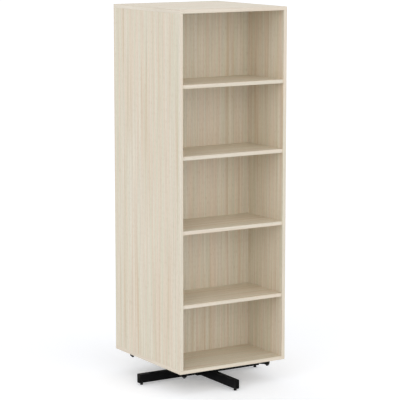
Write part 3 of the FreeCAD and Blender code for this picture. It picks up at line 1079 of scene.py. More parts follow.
def dress(node: str, material: Material, arris: float = 0.0) -> None:
    """Give a node of the frame its finish, and soften its arrises.

    Args:
        node: Name of the node.
        material: Finish for all of it.
        arris: Radius of the softened arrises, none at 0.
    """
    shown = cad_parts[node]
    shown.data.materials.clear()
    shown.data.materials.append(material)
    if arris > 0:
        weld = shown.modifiers.new("merge_seams", "WELD")
        weld.merge_threshold = SEAM_MERGING * METRES
        bevel = shown.modifiers.new("soft_arris", "BEVEL")
        bevel.width = arris * METRES
        bevel.segments = ARRIS_SEGMENTS
        bevel.limit_method = "ANGLE"
        bevel.angle_limit = math.radians(ARRIS_ANGLE_DEG)
        bevel.harden_normals = True
    LOG.info("%s: dressed in %s", node, material.name)


def levels(node: str) -> tuple[float, float]:
    """Lowest and highest height of a node of the frame."""
    low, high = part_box(node)
    return low.z / METRES, high.z / METRES


# ---------------------------------------------------------------------------- levelling feet
@dataclass
class LevellingFeet:
    """Four pads on threaded stems that screw into nuts in the lower arms.

    Attributes:
        circle_radius: Distance of a foot from the cabinet's axis.
        pad_across_flats: Width of a pad over flats.
        pad_rounding: Radius of its upright corners.
        grip_rings: Radius and height of each turn of the two rings under the sole.
        pad_foot: Inset and height of each turn of the flank above the floor.
        pad_shoulder: Inset and depth of each turn of the flank below the pad's top.
        socket_diameter: Diameter of the socket in the pad.
        socket_depth: Depth of the socket.
        socket_chamfer: Chamfer of its mouth.
        thread: Thread of a stem.
        thread_lap: How far the thread runs into the collar.
        shank_radius: Radius of the plain end that stands in the socket.
        shank_chamfer: Chamfer of that end.
        shank_lap: How far the plain end runs into the collar.
        shank_steps: Points round the plain end.
        collar_across_flats: Width of the collar over flats.
        collar_core: Diameter of the collar's bore, which the stem fills.
        collar_low: Height of the collar's lower end.
        collar_high: Height of its upper end.
        nut_across_flats: Width of a nut over flats.
        nut_bore: Diameter of its bore.
        angles: Direction of each foot, degrees.
    """

    circle_radius: float = 332.0
    pad_across_flats: float = 15.0
    pad_rounding: float = 3.0
    grip_rings: Turns = (
        (1.6, 0.0), (2.0, 0.4), (2.8, 0.4), (3.2, 0.0), (4.2, 0.0), (4.6, 0.4), (5.4, 0.4), (5.8, 0.0),
    )
    pad_foot: Turns = ((0.8, 0.0), (0.25, 0.2), (0.0, 0.8), (0.1, 2.4))
    pad_shoulder: Turns = ((0.5, 1.4), (0.9, 0.55), (1.5, 0.1), (2.0, 0.0))
    socket_diameter: float = 8.2
    socket_depth: float = 3.2
    socket_chamfer: float = 0.3
    thread: Thread = Thread(diameter=8.0, pitch=1.25, depth=0.68)
    thread_lap: float = 0.5
    shank_radius: float = 3.9
    shank_chamfer: float = 0.3
    shank_lap: float = 0.4
    shank_steps: int = 32
    collar_across_flats: float = 13.0
    collar_core: float = 5.0
    collar_low: float = 6.1
    collar_high: float = 9.9
    nut_across_flats: float = 13.0
    nut_bore: float = 8.1
    angles: Mapping[str, float] = field(
        default_factory=lambda: {"front": -90.0, "right": 0.0, "rear": 90.0, "left": 180.0}
    )

    def place(self, surface: Surface, angle: float) -> Surface:
        """Move a surface from the axis out to the foot at an angle."""
        return surface.moved(x=self.circle_radius).turned(angle)

    def pad(self) -> Surface:
        """Pad: a rounded hexagon that flares to its sole, with two grip rings under it and a socket on top.

        Returns:
            A closed surface round the Z axis.
        """
        outline = partial(rounded_outline, polygon(HEXAGON, self.pad_across_flats), self.pad_rounding)
        base, top, socket = outline(), levels("foot_pad_front")[1], self.socket_diameter / 2
        rows = [(circle_like(base, radius), level) for radius, level in self.grip_rings]
        rows += [(outline(inset=inset), level) for inset, level in self.pad_foot]
        rows += [(outline(inset=inset), top - depth) for inset, depth in self.pad_shoulder]
        rows += [(circle_like(base, socket + self.socket_chamfer), top)]
        hole = circle_like(base, socket)
        rows += [(hole, top - self.socket_chamfer), (hole, top - self.socket_depth)]
        return stacked(rows)

    def stem(self) -> Surface:
        """Threaded stem with its hexagon collar and a plain end below it.

        Returns:
            A closed surface round the Z axis, of three shells.
        """
        low, high = levels("foot_stem_front")
        radius, chamfer = self.shank_radius, self.shank_chamfer
        end = [(radius - chamfer, low), (radius, low + chamfer), (radius, self.collar_low + self.shank_lap)]
        ends = self.collar_low, self.collar_high
        collar = HexagonNut(self.collar_across_flats, self.collar_core, *ends).solid()
        thread = self.thread.rod(self.collar_high - self.thread_lap, high)
        return Surface.joined([turned_body(end, self.shank_steps), collar, thread])

    def build(self, palette: Palette) -> None:
        """Build every pad, stem and nut.

        Args:
            palette: Finishes of the cabinet.
        """
        pad, stem = self.pad(), self.stem()
        for name, angle in self.angles.items():
            here, node = self.place(pad, angle), f"foot_pad_{name}"
            foot = Piece(f"levelling_pad_{name}", here, f"foot_{name}", node, "black_plastic")
            foot.build(palette.moulded_plastic)
            here, node = self.place(stem, angle), f"foot_stem_{name}"
            screw = Piece(f"levelling_stem_{name}", here, f"stem_{name}", node, "black_screw")
            screw.build(palette.blackened_screw)
        nut = HexagonNut(self.nut_across_flats, self.nut_bore, *levels("foot_nuts")).solid()
        nuts = Surface.joined([self.place(nut, angle) for angle in self.angles.values()])
        Piece("weld_nuts", nuts, "base", "foot_nuts", "zinc_steel").build(palette.zinc_plate)


# ---------------------------------------------------------------------------- the two crosses
class Flat(Enum):
    """Level flats of an arm's tube, each with the number of its first point in the tube's section."""

    UPPER = CORNER_STEPS - 1
    LOWER = 3 * CORNER_STEPS + FLAT_CELLS - 2


@dataclass
class WeldedCross:
    """Four rectangular tube arms welded to a square hub, with moulded plugs in their ends.

    Attributes:
        level: First word of the names of its nodes.
        body: Body of the frame that carries it.
        arms: Direction of each arm, degrees.
        reach: Distance of the arms' ends from the axis.
        hub_turn: Angle of the hub, degrees.
        hole_radius: Distance of the holes from the axis.
        hole_diameter: Diameter of the holes.
        holed: Flats that have the hole.
        plate_above: Whether the bearing plate lies on the arms and not under them.
        tube_width: Width of the tube.
        wall: Thickness of its wall.
        outer_rounding: Radius of its outer corners.
        inner_rounding: Radius of its inner corners.
        hub_side: Width of the hub.
        hub_wall: Thickness of its wall.
        hub_rounding: Radius of its corners.
        hub_steps: Points on each of them.
        hub_lap: How far an arm runs into the hub.
        plug_flange: Thickness of a plug's flange.
        plug_depth: How far its fins reach into the tube.
        plug_arris: Radius of its rim.
        plug_gap: Gap between flange and tube.
        plug_pan: Inset and depth of each turn of the pan in its face.
        fin: Thickness of a fin.
        fin_rounding: Radius of its corners.
        fin_steps: Points on each of them.
        fin_play: Gap between fin and tube.
        fin_lap: How far a fin runs into the flange.
        bead: Weld bead.
        seam_start: Distance of a level weld's inner end from the axis.
        seam_end: Distance of its outer end.
        hole_patch: Side of the square of small cells round a hole.
    """

    level: str
    body: str
    arms: Mapping[str, float]
    reach: float
    hub_turn: float
    hole_radius: float
    hole_diameter: float
    holed: tuple[Flat, ...]
    plate_above: bool
    tube_width: float = 25.0
    wall: float = 2.0
    outer_rounding: float = 3.2
    inner_rounding: float = 1.4
    hub_side: float = 60.0
    hub_wall: float = 4.0
    hub_rounding: float = 5.0
    hub_steps: int = 6
    hub_lap: float = 0.4
    plug_flange: float = 3.0
    plug_depth: float = 7.0
    plug_arris: float = 0.9
    plug_gap: float = 0.02
    plug_pan: Turns = ((2.8, 0.0), (3.2, 0.0), (3.9, 0.45), (5.2, 0.5))
    fin: float = 1.8
    fin_rounding: float = 0.4
    fin_steps: int = 3
    fin_play: float = 0.1
    fin_lap: float = 0.5
    bead: WeldBead = WeldBead()
    seam_start: float = 38.0
    seam_end: float = 64.0
    hole_patch: float = 16.0

    @property
    def low(self) -> float:
        """Height of the arms' lower face."""
        return levels(f"{self.level}_hub")[0]

    @property
    def high(self) -> float:
        """Height of the arms' upper face."""
        return levels(f"{self.level}_hub")[1]

    @property
    def tube(self) -> Array:
        """Corners of the tube's section round its middle."""
        return rectangle(self.tube_width, self.high - self.low)

    def section(self, inset: float, rounding: float) -> Array:
        """Section of the tube in (y, z), with extra points across its lower and upper flats.

        The four corner arcs come from the rounded rectangle; the flats between them get evenly spaced points,
        so that a hole can be let into them.

        Args:
            inset: Distance inside the outer face.
            rounding: Radius of the corners at that distance.

        Returns:
            Points, anticlockwise, starting on the upper right corner.
        """
        arcs = rounded_outline(self.tube, rounding + inset, inset=inset).reshape(4, CORNER_STEPS, 2)
        share = np.linspace(0, 1, FLAT_CELLS + 1)[1:-1, None]
        upper, lower = (arcs[i][-1] + (arcs[i + 1][0] - arcs[i][-1]) * share for i in (0, 2))
        outline = np.concatenate([arcs[0], upper, arcs[1], arcs[2], lower, arcs[3]])
        return outline + np.array([0.0, (self.low + self.high) / 2])

    def bore(self, points: list[Array], numbers: Array, flat: Flat) -> list[list[int]]:
        """Let a round hole into the gap that both skins have in one flat.

        The points round the gap are moved straight towards or away from the hole's middle until they lie on
        its circle. One ring of quads joins gap and circle in each skin, another the circles of the two skins.

        Args:
            points: Points so far, those of the outer and of the inner skin first; the circles are added.
            numbers: Point numbers of the outer skin, a row for each station.
            flat: Flat that has the gap.

        Returns:
            The faces.
        """
        patch = numbers[HOLE_ROWS.start : HOLE_ROWS.stop + 1, flat.value : flat.value + FLAT_CELLS + 1]
        gap = np.concatenate([patch[:-1, 0], patch[-1, :-1], patch[:0:-1, -1], patch[0, :0:-1]])
        centre, faces, circles = [self.hole_radius, 0.0], [], []
        for skin in (0, 1):
            edge = points[skin][gap]
            circles.append(sum(map(len, points)) + np.arange(len(gap)))
            circle = circle_like(edge[:, :2] - centre, self.hole_diameter / 2) + centre
            points.append(np.column_stack([circle, edge[:, 2]]))
            faces += band(gap + skin * numbers.size, circles[-1])
        return faces + band(*circles)

    def arm(self) -> Surface:
        """Arm along +X: the section carried out, walled, with round holes where the fixings go through.

        The outer and the inner skin are the same section carried along X through a few stations, most of them
        round the hole, where each holed flat leaves out its cells. Bands of quads join the skins at the ends.

        Returns:
            A closed surface.
        """
        patch = np.linspace(-self.hole_patch / 2, self.hole_patch / 2, FLAT_CELLS + 1) + self.hole_radius
        start, end = self.hub_side / 2 - self.hub_lap, self.reach - self.plug_flange
        stations = np.concatenate([[start], patch, [end]])
        outlines = self.section(0.0, self.outer_rounding), self.section(self.wall, self.inner_rounding)
        rows, columns = len(stations), len(outlines[0])
        along = np.repeat(stations, columns)
        points = [np.column_stack([along, np.tile(outline, (rows, 1))]) for outline in outlines]
        numbers = np.arange(rows * columns).reshape(rows, columns)
        cells = np.array(grid_faces(rows, columns, False, True)).reshape(rows - 1, columns, 4)
        keep = np.ones(cells.shape[:2], dtype=bool)
        for flat in self.holed:
            keep[HOLE_ROWS, flat.value : flat.value + FLAT_CELLS] = False
        faces = cells[keep].tolist() + (cells[keep] + numbers.size).tolist()
        faces += band(numbers[0], numbers[0] + numbers.size) + band(numbers[-1], numbers[-1] + numbers.size)
        for flat in self.holed:
            faces += self.bore(points, numbers, flat)
        return Surface(np.concatenate(points), faces)

    def beads(self) -> Surface:
        """Fillet welds on both sides of an arm: upright ones to the hub, level ones along the plate.

        Returns:
            Four closed shells.
        """
        side = self.tube_width / 2
        upright = self.bead.upright(self.low + self.outer_rounding, self.high - self.outer_rounding)
        seam = self.bead.upright(self.seam_start, self.seam_end).laid()
        if self.plate_above:
            seam = seam.mirrored(2)
        seam = seam.moved(y=side, z=self.high if self.plate_above else self.low)
        left = Surface.joined([upright.moved(self.hub_side / 2, side), seam])
        return Surface.joined([left, left.mirrored(1)])

    def plug(self) -> Surface:
        """End plug along +X: a flange with a rolled rim and a shallow pan, and two fins inside the tube.

        The flange is the tube's section, its rim a quarter circle, and the pan the same section set in. The
        fins are thin upright blocks.

        Returns:
            A closed surface, of three shells.
        """
        end, start = self.reach, self.reach - self.plug_flange
        rim = edge_roll(self.plug_arris, start, end, CORNER_STEPS)[CORNER_STEPS:]
        rows = [(0.0, start + self.plug_gap), *rim, *((inset, end - depth) for inset, depth in self.plug_pan)]
        outline = partial(rounded_outline, self.tube, self.outer_rounding)
        flange = stacked([(outline(inset=inset), x) for inset, x in rows])
        inset = self.wall + self.fin_play
        across = self.tube_width / 2 - inset - self.fin / 2
        upright = rectangle(self.fin, self.high - self.low - 2 * inset)
        ends = start - self.plug_depth, start + self.fin_lap
        fin = Block(upright, self.fin_rounding, self.fin_rounding, *ends, self.fin_steps).solid().laid()
        plug = Surface.joined([flange.laid(), fin.moved(y=across), fin.moved(y=-across)])
        return plug.moved(z=(self.low + self.high) / 2)

    def hub(self) -> Surface:
        """Hub: a square tube with rounded corners, its wall between two rounded squares.

        Returns:
            A closed ring.
        """
        square = rectangle(self.hub_side, self.hub_side)
        outline = partial(rounded_outline, square, self.hub_rounding, self.hub_steps)
        outer, inner = outline(), outline(inset=self.hub_wall)
        rows = [(outer, self.low), (outer, self.high), (inner, self.high), (inner, self.low)]
        return stacked(rows, ring=True).turned(self.hub_turn)

    def build(self, palette: Palette) -> None:
        """Build the arms, the hub and the plugs.

        Args:
            palette: Finishes of the cabinet.
        """
        level, body, arm = self.level, self.body, Surface.joined([self.arm(), self.beads()])
        steel = [
            Piece(f"{level}_tube_arm_{name}", arm.turned(angle), body, f"{level}_arm_{name}", "black_steel")
            for name, angle in self.arms.items()
        ]
        steel.append(Piece(f"{level}_hub_tube", self.hub(), body, f"{level}_hub", "black_steel"))
        for piece in steel:
            piece.build(palette.powder_coat)
        plugs = Surface.joined([self.plug().turned(angle) for angle in self.arms.values()])
        ends = Piece(f"{level}_tube_plugs", plugs, body, f"{level}_end_plugs", "black_plastic")
        ends.build(palette.moulded_plastic)


# ---------------------------------------------------------------------------- roller turntable
@dataclass
class RollerTurntable:
    """Two plates with a caged ring of rollers between them, and the shoulder bolt through their middle.

    Attributes:
        plate_side: Width of a bearing plate.
        plate_cut: What is cut off its corners.
        plate_rounding: Radius of the corners this leaves.
        plate_arris: Radius of its level arrises.
        lower_bore: Diameter of the lower plate's bore.
        upper_bore: Diameter of the upper plate's bore.
        circle_radius: Middle radius of the ring of rollers.
        lane_half_width: Half the width of the lane they run in.
        lane_depth: How far into the plates the lane's finish counts.
        roller_diameter: Diameter of a roller.
        roller_length: Its length.
        roller_count: Number of rollers.
        roller_end: Depth below the crown and distance from the end of each turn of a roller's end.
        roller_steps: Points round a roller.
        cage_arris: Radius of the cage's arrises.
        shoulder_diameter: Diameter of the bolt's ground shoulder.
        shoulder_chamfer: Chamfer of its lower end.
        shoulder_lap: How far it runs into the head.
        bolt_diameter: Diameter of the bolt's thread.
        bolt_pitch: Pitch of that thread.
        bolt_depth: Depth of that thread.
        bolt_steps: Points round that thread.
        bolt_lap: How far the thread runs into the shoulder.
        thread_play: Gap between the thread and the locknut.
        head_across_flats: Width of the bolt's head over flats.
        head_height: Height of the head.
        head_core: Diameter of the head's bore, which the dish fills.
        dish_rise: Height of the dish's lower end above the head's.
        dish: Radius and depth of each turn of the dish in the head's top.
        locknut_across_flats: Width of the locknut over flats.
        locknut_collar: Height of its collar.
        collar_setback: What the collar's radius is less than half that width.
        collar_mouth: Width and height of the chamfer of its bore.
        collar_edge: Inset and height of each turn of its lower edge.
        collar_lap: How far the hexagon runs into it.
        bush_wall: Thickness of the bush.
        bush_mouth: Chamfer of its bore.
        bush_chamfer: Chamfer of its outer edges.
        running_clearance: Gap between bush and shoulder.
    """

    plate_side: float = 150.0
    plate_cut: float = 15.0
    plate_rounding: float = 3.0
    plate_arris: float = 0.8
    lower_bore: float = 16.4
    upper_bore: float = 25.1
    circle_radius: float = 45.0
    lane_half_width: float = 9.2
    lane_depth: float = 0.3
    roller_diameter: float = 11.0
    roller_length: float = 16.0
    roller_count: int = 8
    roller_end: Turns = ((1.12, 0.0), (0.7, 0.0), (0.21, 0.21), (0.02, 0.7))
    roller_steps: int = 36
    cage_arris: float = 0.4
    shoulder_diameter: float = 20.0
    shoulder_chamfer: float = 0.6
    shoulder_lap: float = 0.3
    bolt_diameter: float = 16.0
    bolt_pitch: float = 2.0
    bolt_depth: float = 1.1
    bolt_steps: int = 36
    bolt_lap: float = 0.2
    thread_play: float = 0.05
    head_across_flats: float = 30.0
    head_height: float = 10.0
    head_core: float = 12.0
    dish_rise: float = 0.5
    dish: Turns = ((7.0, 0.6), (6.0, 0.35))
    locknut_across_flats: float = 24.0
    locknut_collar: float = 4.5
    collar_setback: float = 1.6
    collar_mouth: tuple[float, float] = (0.5, 0.4)
    collar_edge: Turns = ((1.4, 0.0), (0.4, 0.4), (0.0, 1.4))
    collar_lap: float = 0.4
    bush_wall: float = 2.5
    bush_mouth: float = 0.4
    bush_chamfer: float = 0.5
    running_clearance: float = 0.05

    def track(self) -> Track:
        """Lane of the rollers on the facing sides of the two plates.

        Returns:
            The lane, from a little below the lower plate's top to a little above the upper plate's underside.
        """
        low, high = levels("lower_bearing_plate")[1], levels("upper_bearing_plate")[0]
        half_gap = (high - low) / 2 + self.lane_depth
        return Track(self.circle_radius, self.lane_half_width, (low + high) / 2, half_gap)

    def plate(self, node: str, bore: float) -> Surface:
        """Bearing plate at a node's level: a square with its corners cut off, rolled arrises and a bore.

        Args:
            node: Node of the frame.
            bore: Diameter of the bore.

        Returns:
            A closed ring.
        """
        half, cut = self.plate_side / 2, self.plate_side / 2 - self.plate_cut
        rear = np.array([[half, cut], [cut, half], [-cut, half], [-half, cut]])
        corners = np.concatenate([rear, -rear])
        return Block(corners, self.plate_rounding, self.plate_arris, *levels(node)).bored(bore)

    def rollers(self) -> Surface:
        """Rollers, lying like spokes: a turned profile with rounded ends and a slight crown.

        Returns:
            A closed shell for each roller.
        """
        low, high = levels("bearing_rollers")
        radius, half = self.roller_diameter / 2, self.roller_length / 2
        profile = [(radius - drop, inset - half) for drop, inset in self.roller_end] + [(radius, 0.0)]
        profile += [(r, -level) for r, level in profile[-2::-1]]
        roller = turned_body(profile, self.roller_steps).laid()
        roller = roller.moved(x=self.circle_radius, z=(low + high) / 2)
        return Surface.joined([roller.turned(360 * i / self.roller_count) for i in range(self.roller_count)])

    def bolt(self) -> Surface:
        """Shoulder bolt: threaded end, ground shoulder and a dished hexagon head with turned-down corners.

        Returns:
            A closed surface, of four shells.
        """
        low, high = levels("pivot_bolt")
        plate_top, head_low = levels("lower_bearing_plate")[1], high - self.head_height
        diameter = self.bolt_diameter - self.thread_play
        thread = Thread(diameter, self.bolt_pitch, self.bolt_depth, self.bolt_steps)
        radius, chamfer = self.shoulder_diameter / 2, self.shoulder_chamfer
        shoulder = [(radius - chamfer, plate_top), (radius, plate_top + chamfer)]
        shoulder.append((radius, head_low + self.shoulder_lap))
        dish = [(self.dish[0][0], head_low + self.dish_rise), *((r, high - depth) for r, depth in self.dish)]
        head = HexagonNut(self.head_across_flats, self.head_core, head_low, high).solid()
        rod = thread.rod(low, plate_top + self.bolt_lap)
        return Surface.joined([rod, turned_body(shoulder), head, turned_body(dish)])

    def locknut(self) -> Surface:
        """Locknut: a hexagon with a round collar below it that holds the locking ring.

        Returns:
            A closed surface, of two shells.
        """
        low, high = levels("pivot_locknut")
        top, bore = low + self.locknut_collar, self.bolt_diameter / 2 + self.thread_play
        radius = self.locknut_across_flats / 2 - self.collar_setback
        body = HexagonNut(self.locknut_across_flats, 2 * bore, top - self.collar_lap, high).solid()
        mouth = [(bore, low + self.collar_mouth[1]), (bore + self.collar_mouth[0], low)]
        edge = [(radius - inset, low + rise) for inset, rise in self.collar_edge]
        return Surface.joined([body, turned_body([*mouth, *edge, (radius, top), (bore, top)], ring=True)])

    def bush(self) -> Surface:
        """Plain bush with both mouths chamfered.

        Returns:
            A closed ring.
        """
        low, high = levels("pivot_bush")
        inner = self.shoulder_diameter / 2 + self.running_clearance
        outer, mouth, chamfer = inner + self.bush_wall, self.bush_mouth, self.bush_chamfer
        lower = [(inner + mouth, low), (outer - chamfer, low), (outer, low + chamfer)]
        upper = [(outer, high - chamfer), (outer - chamfer, high), (inner + mouth, high)]
        return turned_body([*lower, *upper, (inner, high - mouth), (inner, low + mouth)], ring=True)

    def build(self, palette: Palette) -> None:
        """Build every piece of the turntable.

        Args:
            palette: Finishes of the cabinet.
        """
        for side, body, bore in (("lower", "base", self.lower_bore), ("upper", "cabinet", self.upper_bore)):
            node = f"{side}_bearing_plate"
            plate = Piece(f"{side}_turntable_plate", self.plate(node, bore), body, node, "black_steel")
            plate.build(palette.tracked_plate)
        rollers = Piece("thrust_rollers", self.rollers(), "roller_ring", "bearing_rollers", "bearing_steel")
        rollers.build(palette.bearing_steel)
        dress("roller_cage", palette.nylon, self.cage_arris)
        Piece("shoulder_bolt", self.bolt(), "base", "pivot_bolt", "zinc_steel").build(palette.zinc_plate)
        Piece("pivot_nut", self.locknut(), "base", "pivot_locknut", "zinc_steel").build(palette.zinc_plate)
        Piece("bronze_bush", self.bush(), "cabinet", "pivot_bush", "bush_bronze").build(palette.bronze)


# ---------------------------------------------------------------------------- carcass
@dataclass
class Carcass:
    """Boards, edge strips, tongues and the screws that hold them on the upper cross.

    Attributes:
        screw_radius: Distance of a screw from the cabinet's axis.
        thread: Thread of a screw.
        thread_lap: How far the thread runs into the head.
        head_diameter: Diameter of a screw's head.
        head_height: Its height.
        head_rounding: Radius of its rounded edge.
        head_seat: Inset and depth of each turn of its edge under the washer.
        key_across_flats: Width of the key's socket over flats.
        key_rounding: Radius of the socket's corners.
        key_depth: Depth of the socket.
        key_mouth: Depth of its chamfer.
        key_flare: Width of its mouth over its width.
        steps: Points on each rounded corner.
        washer_diameter: Diameter of the washer.
        washer_height: Its thickness.
        washer_arris: Radius of its rim's arrises.
        washer_play: Gap between washer and thread.
        board_arris: Radius of the boards' arrises.
        edging_arris: Radius of the strips' arrises.
        shelves: Number of shelves on each side.
    """

    screw_radius: float = 347.0
    thread: Thread = Thread(diameter=8.0, pitch=3.2, depth=1.1)
    thread_lap: float = 0.3
    head_diameter: float = 14.0
    head_height: float = 7.0
    head_rounding: float = 2.4
    head_seat: Turns = ((0.0, 0.6), (0.5, 0.0))
    key_across_flats: float = 5.0
    key_rounding: float = 0.3
    key_depth: float = 4.0
    key_mouth: float = 0.3
    key_flare: float = 1.12
    steps: int = 6
    washer_diameter: float = 24.0
    washer_height: float = 2.0
    washer_arris: float = 0.4
    washer_play: float = 0.3
    board_arris: float = 0.35
    edging_arris: float = 0.25
    shelves: int = 4

    @property
    def corner_angles(self) -> dict[str, float]:
        """Direction of each corner of the carcass: the arc tangent of its depth over its width.

        Returns:
            Degrees, by the corner's name.
        """
        low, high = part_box("bottom_panel_edging")
        corner = math.degrees(math.atan2(high.y - low.y, high.x - low.x))
        return {
            "front_right": -corner,
            "rear_right": corner,
            "rear_left": 180.0 - corner,
            "front_left": 180.0 + corner,
        }

    def screw(self) -> Surface:
        """Round-headed screw, head down, with a hexagon socket, a coarse thread above and a wide washer.

        Returns:
            A closed surface, of three shells.
        """
        low, high = levels("carcass_screws")
        top, radius = low + self.head_height, self.head_diameter / 2
        key = rounded_outline(polygon(HEXAGON, self.key_across_flats), self.key_rounding, self.steps)
        rows = [(key, low + self.key_depth), (key, low + self.key_mouth), (key * self.key_flare, low)]
        head = edge_roll(self.head_rounding, low, top, self.steps)[: self.steps]
        head += [(inset, top - depth) for inset, depth in self.head_seat]
        rows += [(circle_like(key, radius - inset), level) for inset, level in head]
        washer_top, hole = top + self.washer_height, self.thread.diameter / 2 + self.washer_play
        roll = edge_roll(self.washer_arris, top, washer_top)
        rim = [(self.washer_diameter / 2 - inset, level) for inset, level in roll]
        washer = turned_body([(hole, top), *rim, (hole, washer_top)], ring=True)
        return Surface.joined([stacked(rows), self.thread.rod(top - self.thread_lap, high), washer])

    def build(self, palette: Palette) -> None:
        """Dress every board and strip, and build the screws.

        Args:
            palette: Finishes of the cabinet.
        """
        numbers = range(1, self.shelves + 1)
        shelves = [f"shelf_{side}_{number}" for side in ("front", "rear") for number in numbers]
        uprights = ("side_panel_left", "side_panel_right", "centre_partition")
        level_strips = ("top_panel_edging", "bottom_panel_edging", "shelf_edging")
        groups = (
            (uprights, palette.upright_decor, self.board_arris),
            (("top_panel", "bottom_panel", *shelves), palette.level_decor, self.board_arris),
            (("side_panel_edging",), palette.upright_edging, self.edging_arris),
            (level_strips, palette.level_edging, self.edging_arris),
            (("joint_tongues",), palette.plywood, 0.0),
        )
        for nodes, material, arris in groups:
            for node in nodes:
                dress(node, material, arris)
        screw = self.screw().moved(x=self.screw_radius)
        screws = Surface.joined([screw.turned(angle) for angle in self.corner_angles.values()])
        piece = Piece("corner_screws", screws, "cabinet", "carcass_screws", "black_screw")
        piece.build(palette.blackened_screw)


# ---------------------------------------------------------------------------- studio
@dataclass(frozen=True)
class Lamp:
    """Far soft lamp, so wide that its shadows have no edge.

    Attributes:
        name: Name of the lamp.
        towards: Direction from the cabinet to the lamp.
        strength: Irradiance across its rays, in watts per square metre.
        spread_deg: Angle that the lamp fills.
    """

    name: str
    towards: tuple[float, float, float]
    strength: float
    spread_deg: float = 60.0

    def build(self) -> None:
        """Hang the lamp."""
        data = bpy.data.lights.new(self.name, "SUN")
        data.angle = math.radians(self.spread_deg)
        data.energy = self.strength
        made = bpy.data.objects.new(self.name, data)
        made.rotation_euler = (-Vector(self.towards)).to_track_quat("-Z", "Y").to_euler()
        bpy.context.scene.collection.objects.link(made)


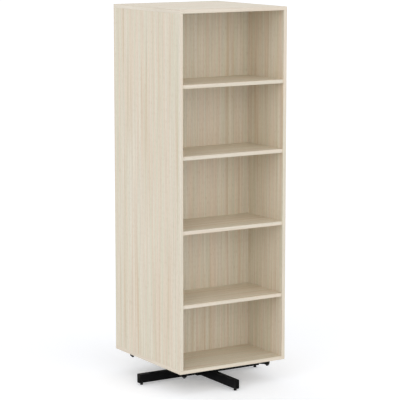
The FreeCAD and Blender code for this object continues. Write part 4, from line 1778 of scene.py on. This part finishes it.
@dataclass
class Studio:
    """Pale floor, white surroundings, soft lamps and the camera.

    Attributes:
        azimuth_deg: Direction of the camera, from the front towards the right.
        elevation_deg: Height of the camera as an angle.
        distance: Distance of the camera from the point it looks at.
        aim_right: Distance of that point from the cabinet's axis, to the camera's right.
        aim_height: Height of that point.
        focal_px: Focal length in widths of a pixel.
        sensor_mm: Width of the sensor.
        clip_m: Nearest and farthest distance that is drawn, in metres.
        floor_half: Half the width of the floor.
        floor_colour: Colour of the floor.
        floor_lift: Glow of the floor for rays that see the background.
        sky_strength: Strength of the even light from all sides.
        lamps: Lamps.
    """

    azimuth_deg: float = -31.583
    elevation_deg: float = 9.058
    distance: float = 9097.0
    aim_right: float = 3.52
    aim_height: float = 888.4
    focal_px: float = 1847.9
    sensor_mm: float = 36.0
    clip_m: tuple[float, float] = (0.1, 200.0)
    floor_half: float = 120000.0
    floor_colour: str = "#EFF1F5"
    floor_lift: float = 0.27
    sky_strength: float = 0.78
    lamps: tuple[Lamp, ...] = (
        Lamp("key_lamp", (-0.80, -0.55, 0.32), 0.88),
        Lamp("front_lamp", (0.30, -1.0, 0.32), 0.45),
    )

    def background_share(self, tree: Tree) -> Socket:
        """Share of the rays that see the white background: camera, glossy and transmission rays.

        Args:
            tree: Node tree that takes the nodes.

        Returns:
            Socket with 1 for such a ray and 0 for any other.
        """
        path = add_node(tree, "LightPath")
        seen = {0: path["Is Camera Ray"], 1: path["Is Glossy Ray"]}
        through = {0: add_node(tree, "Math", seen, operation="ADD")[0], 1: path["Is Transmission Ray"]}
        return add_node(tree, "Math", through, operation="ADD", use_clamp=True)[0]

    def surroundings(self) -> None:
        """World: even light at the sky strength, and plain white where it is seen."""
        world = bpy.data.worlds.new("studio_surroundings")
        world.use_nodes = True
        world.node_tree.nodes.clear()
        node = partial(add_node, world.node_tree)
        share = self.background_share(world.node_tree)
        strength = node("MapRange", {0: share, 3: self.sky_strength, 4: 1.0})[0]
        node("OutputWorld", {0: node("Background", {"Color": linear("#FFFFFF"), "Strength": strength})[0]})
        bpy.context.scene.world = world

    def floor(self) -> None:
        """Floor: one large quad at height 0, matt, lifted to white only for rays that see the background."""
        material, tree = blank_material("studio_floor")
        node = partial(add_node, tree)
        matt = node("BsdfDiffuse", {"Color": linear(self.floor_colour)})[0]
        lift = node("Math", {0: self.background_share(tree), 1: self.floor_lift}, operation="MULTIPLY")[0]
        glow = node("Emission", {"Strength": lift})[0]
        node("OutputMaterial", {0: node("AddShader", {0: matt, 1: glow})[0]})
        mesh = bpy.data.meshes.new("studio_floor")
        corners = np.column_stack([rectangle(2 * self.floor_half, 2 * self.floor_half), np.zeros(4)]) * METRES
        mesh.from_pydata(corners.tolist(), [], [[0, 1, 2, 3]])
        mesh.materials.append(material)
        plane = bpy.data.objects.new("studio_floor", mesh)
        bpy.context.scene.collection.objects.link(plane)

    def camera(self) -> None:
        """Camera on a long lens, looking a little down on the cabinet from its front left."""
        turn, rise = math.radians(self.azimuth_deg), math.radians(self.elevation_deg)
        back = Vector((math.sin(turn) * math.cos(rise), -math.cos(turn) * math.cos(rise), math.sin(rise)))
        right = Vector((math.cos(turn), math.sin(turn), 0.0))
        aim = right * self.aim_right + Vector((0.0, 0.0, self.aim_height))
        data = bpy.data.cameras.new("studio_camera")
        data.sensor_width = self.sensor_mm
        data.lens = self.focal_px / IMAGE_WIDTH_PX * self.sensor_mm
        data.clip_start, data.clip_end = self.clip_m
        made = bpy.data.objects.new("studio_camera", data)
        made.location = (aim + back * self.distance) * METRES
        made.rotation_euler = (-back).to_track_quat("-Z", "Y").to_euler()
        bpy.context.scene.collection.objects.link(made)
        bpy.context.scene.camera = made

    def build(self) -> None:
        """Build the studio."""
        bpy.context.scene.view_settings.view_transform = "Standard"
        self.camera()
        self.surroundings()
        self.floor()
        for lamp in self.lamps:
            lamp.build()


def main() -> None:
    """Build the studio and the cabinet."""
    logging.basicConfig(level=logging.INFO, format="%(name)s: %(message)s")
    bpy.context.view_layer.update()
    Studio().build()
    turntable, feet, carcass = RollerTurntable(), LevellingFeet(), Carcass()
    lower = WeldedCross(
        level="lower",
        body="base",
        arms=feet.angles,
        reach=350.0,
        hub_turn=0.0,
        hole_radius=feet.circle_radius,
        hole_diameter=8.8,
        holed=(Flat.LOWER,),
        plate_above=True,
    )
    upper = WeldedCross(
        level="upper",
        body="cabinet",
        arms=carcass.corner_angles,
        reach=357.0,
        hub_turn=45.0,
        hole_radius=carcass.screw_radius,
        hole_diameter=9.0,
        holed=(Flat.LOWER, Flat.UPPER),
        plate_above=False,
    )
    palette = Palette.make(turntable.track())
    for assembly in (feet, lower, upper, turntable, carcass):
        assembly.build(palette)


if __name__ == "__main__":
    main()
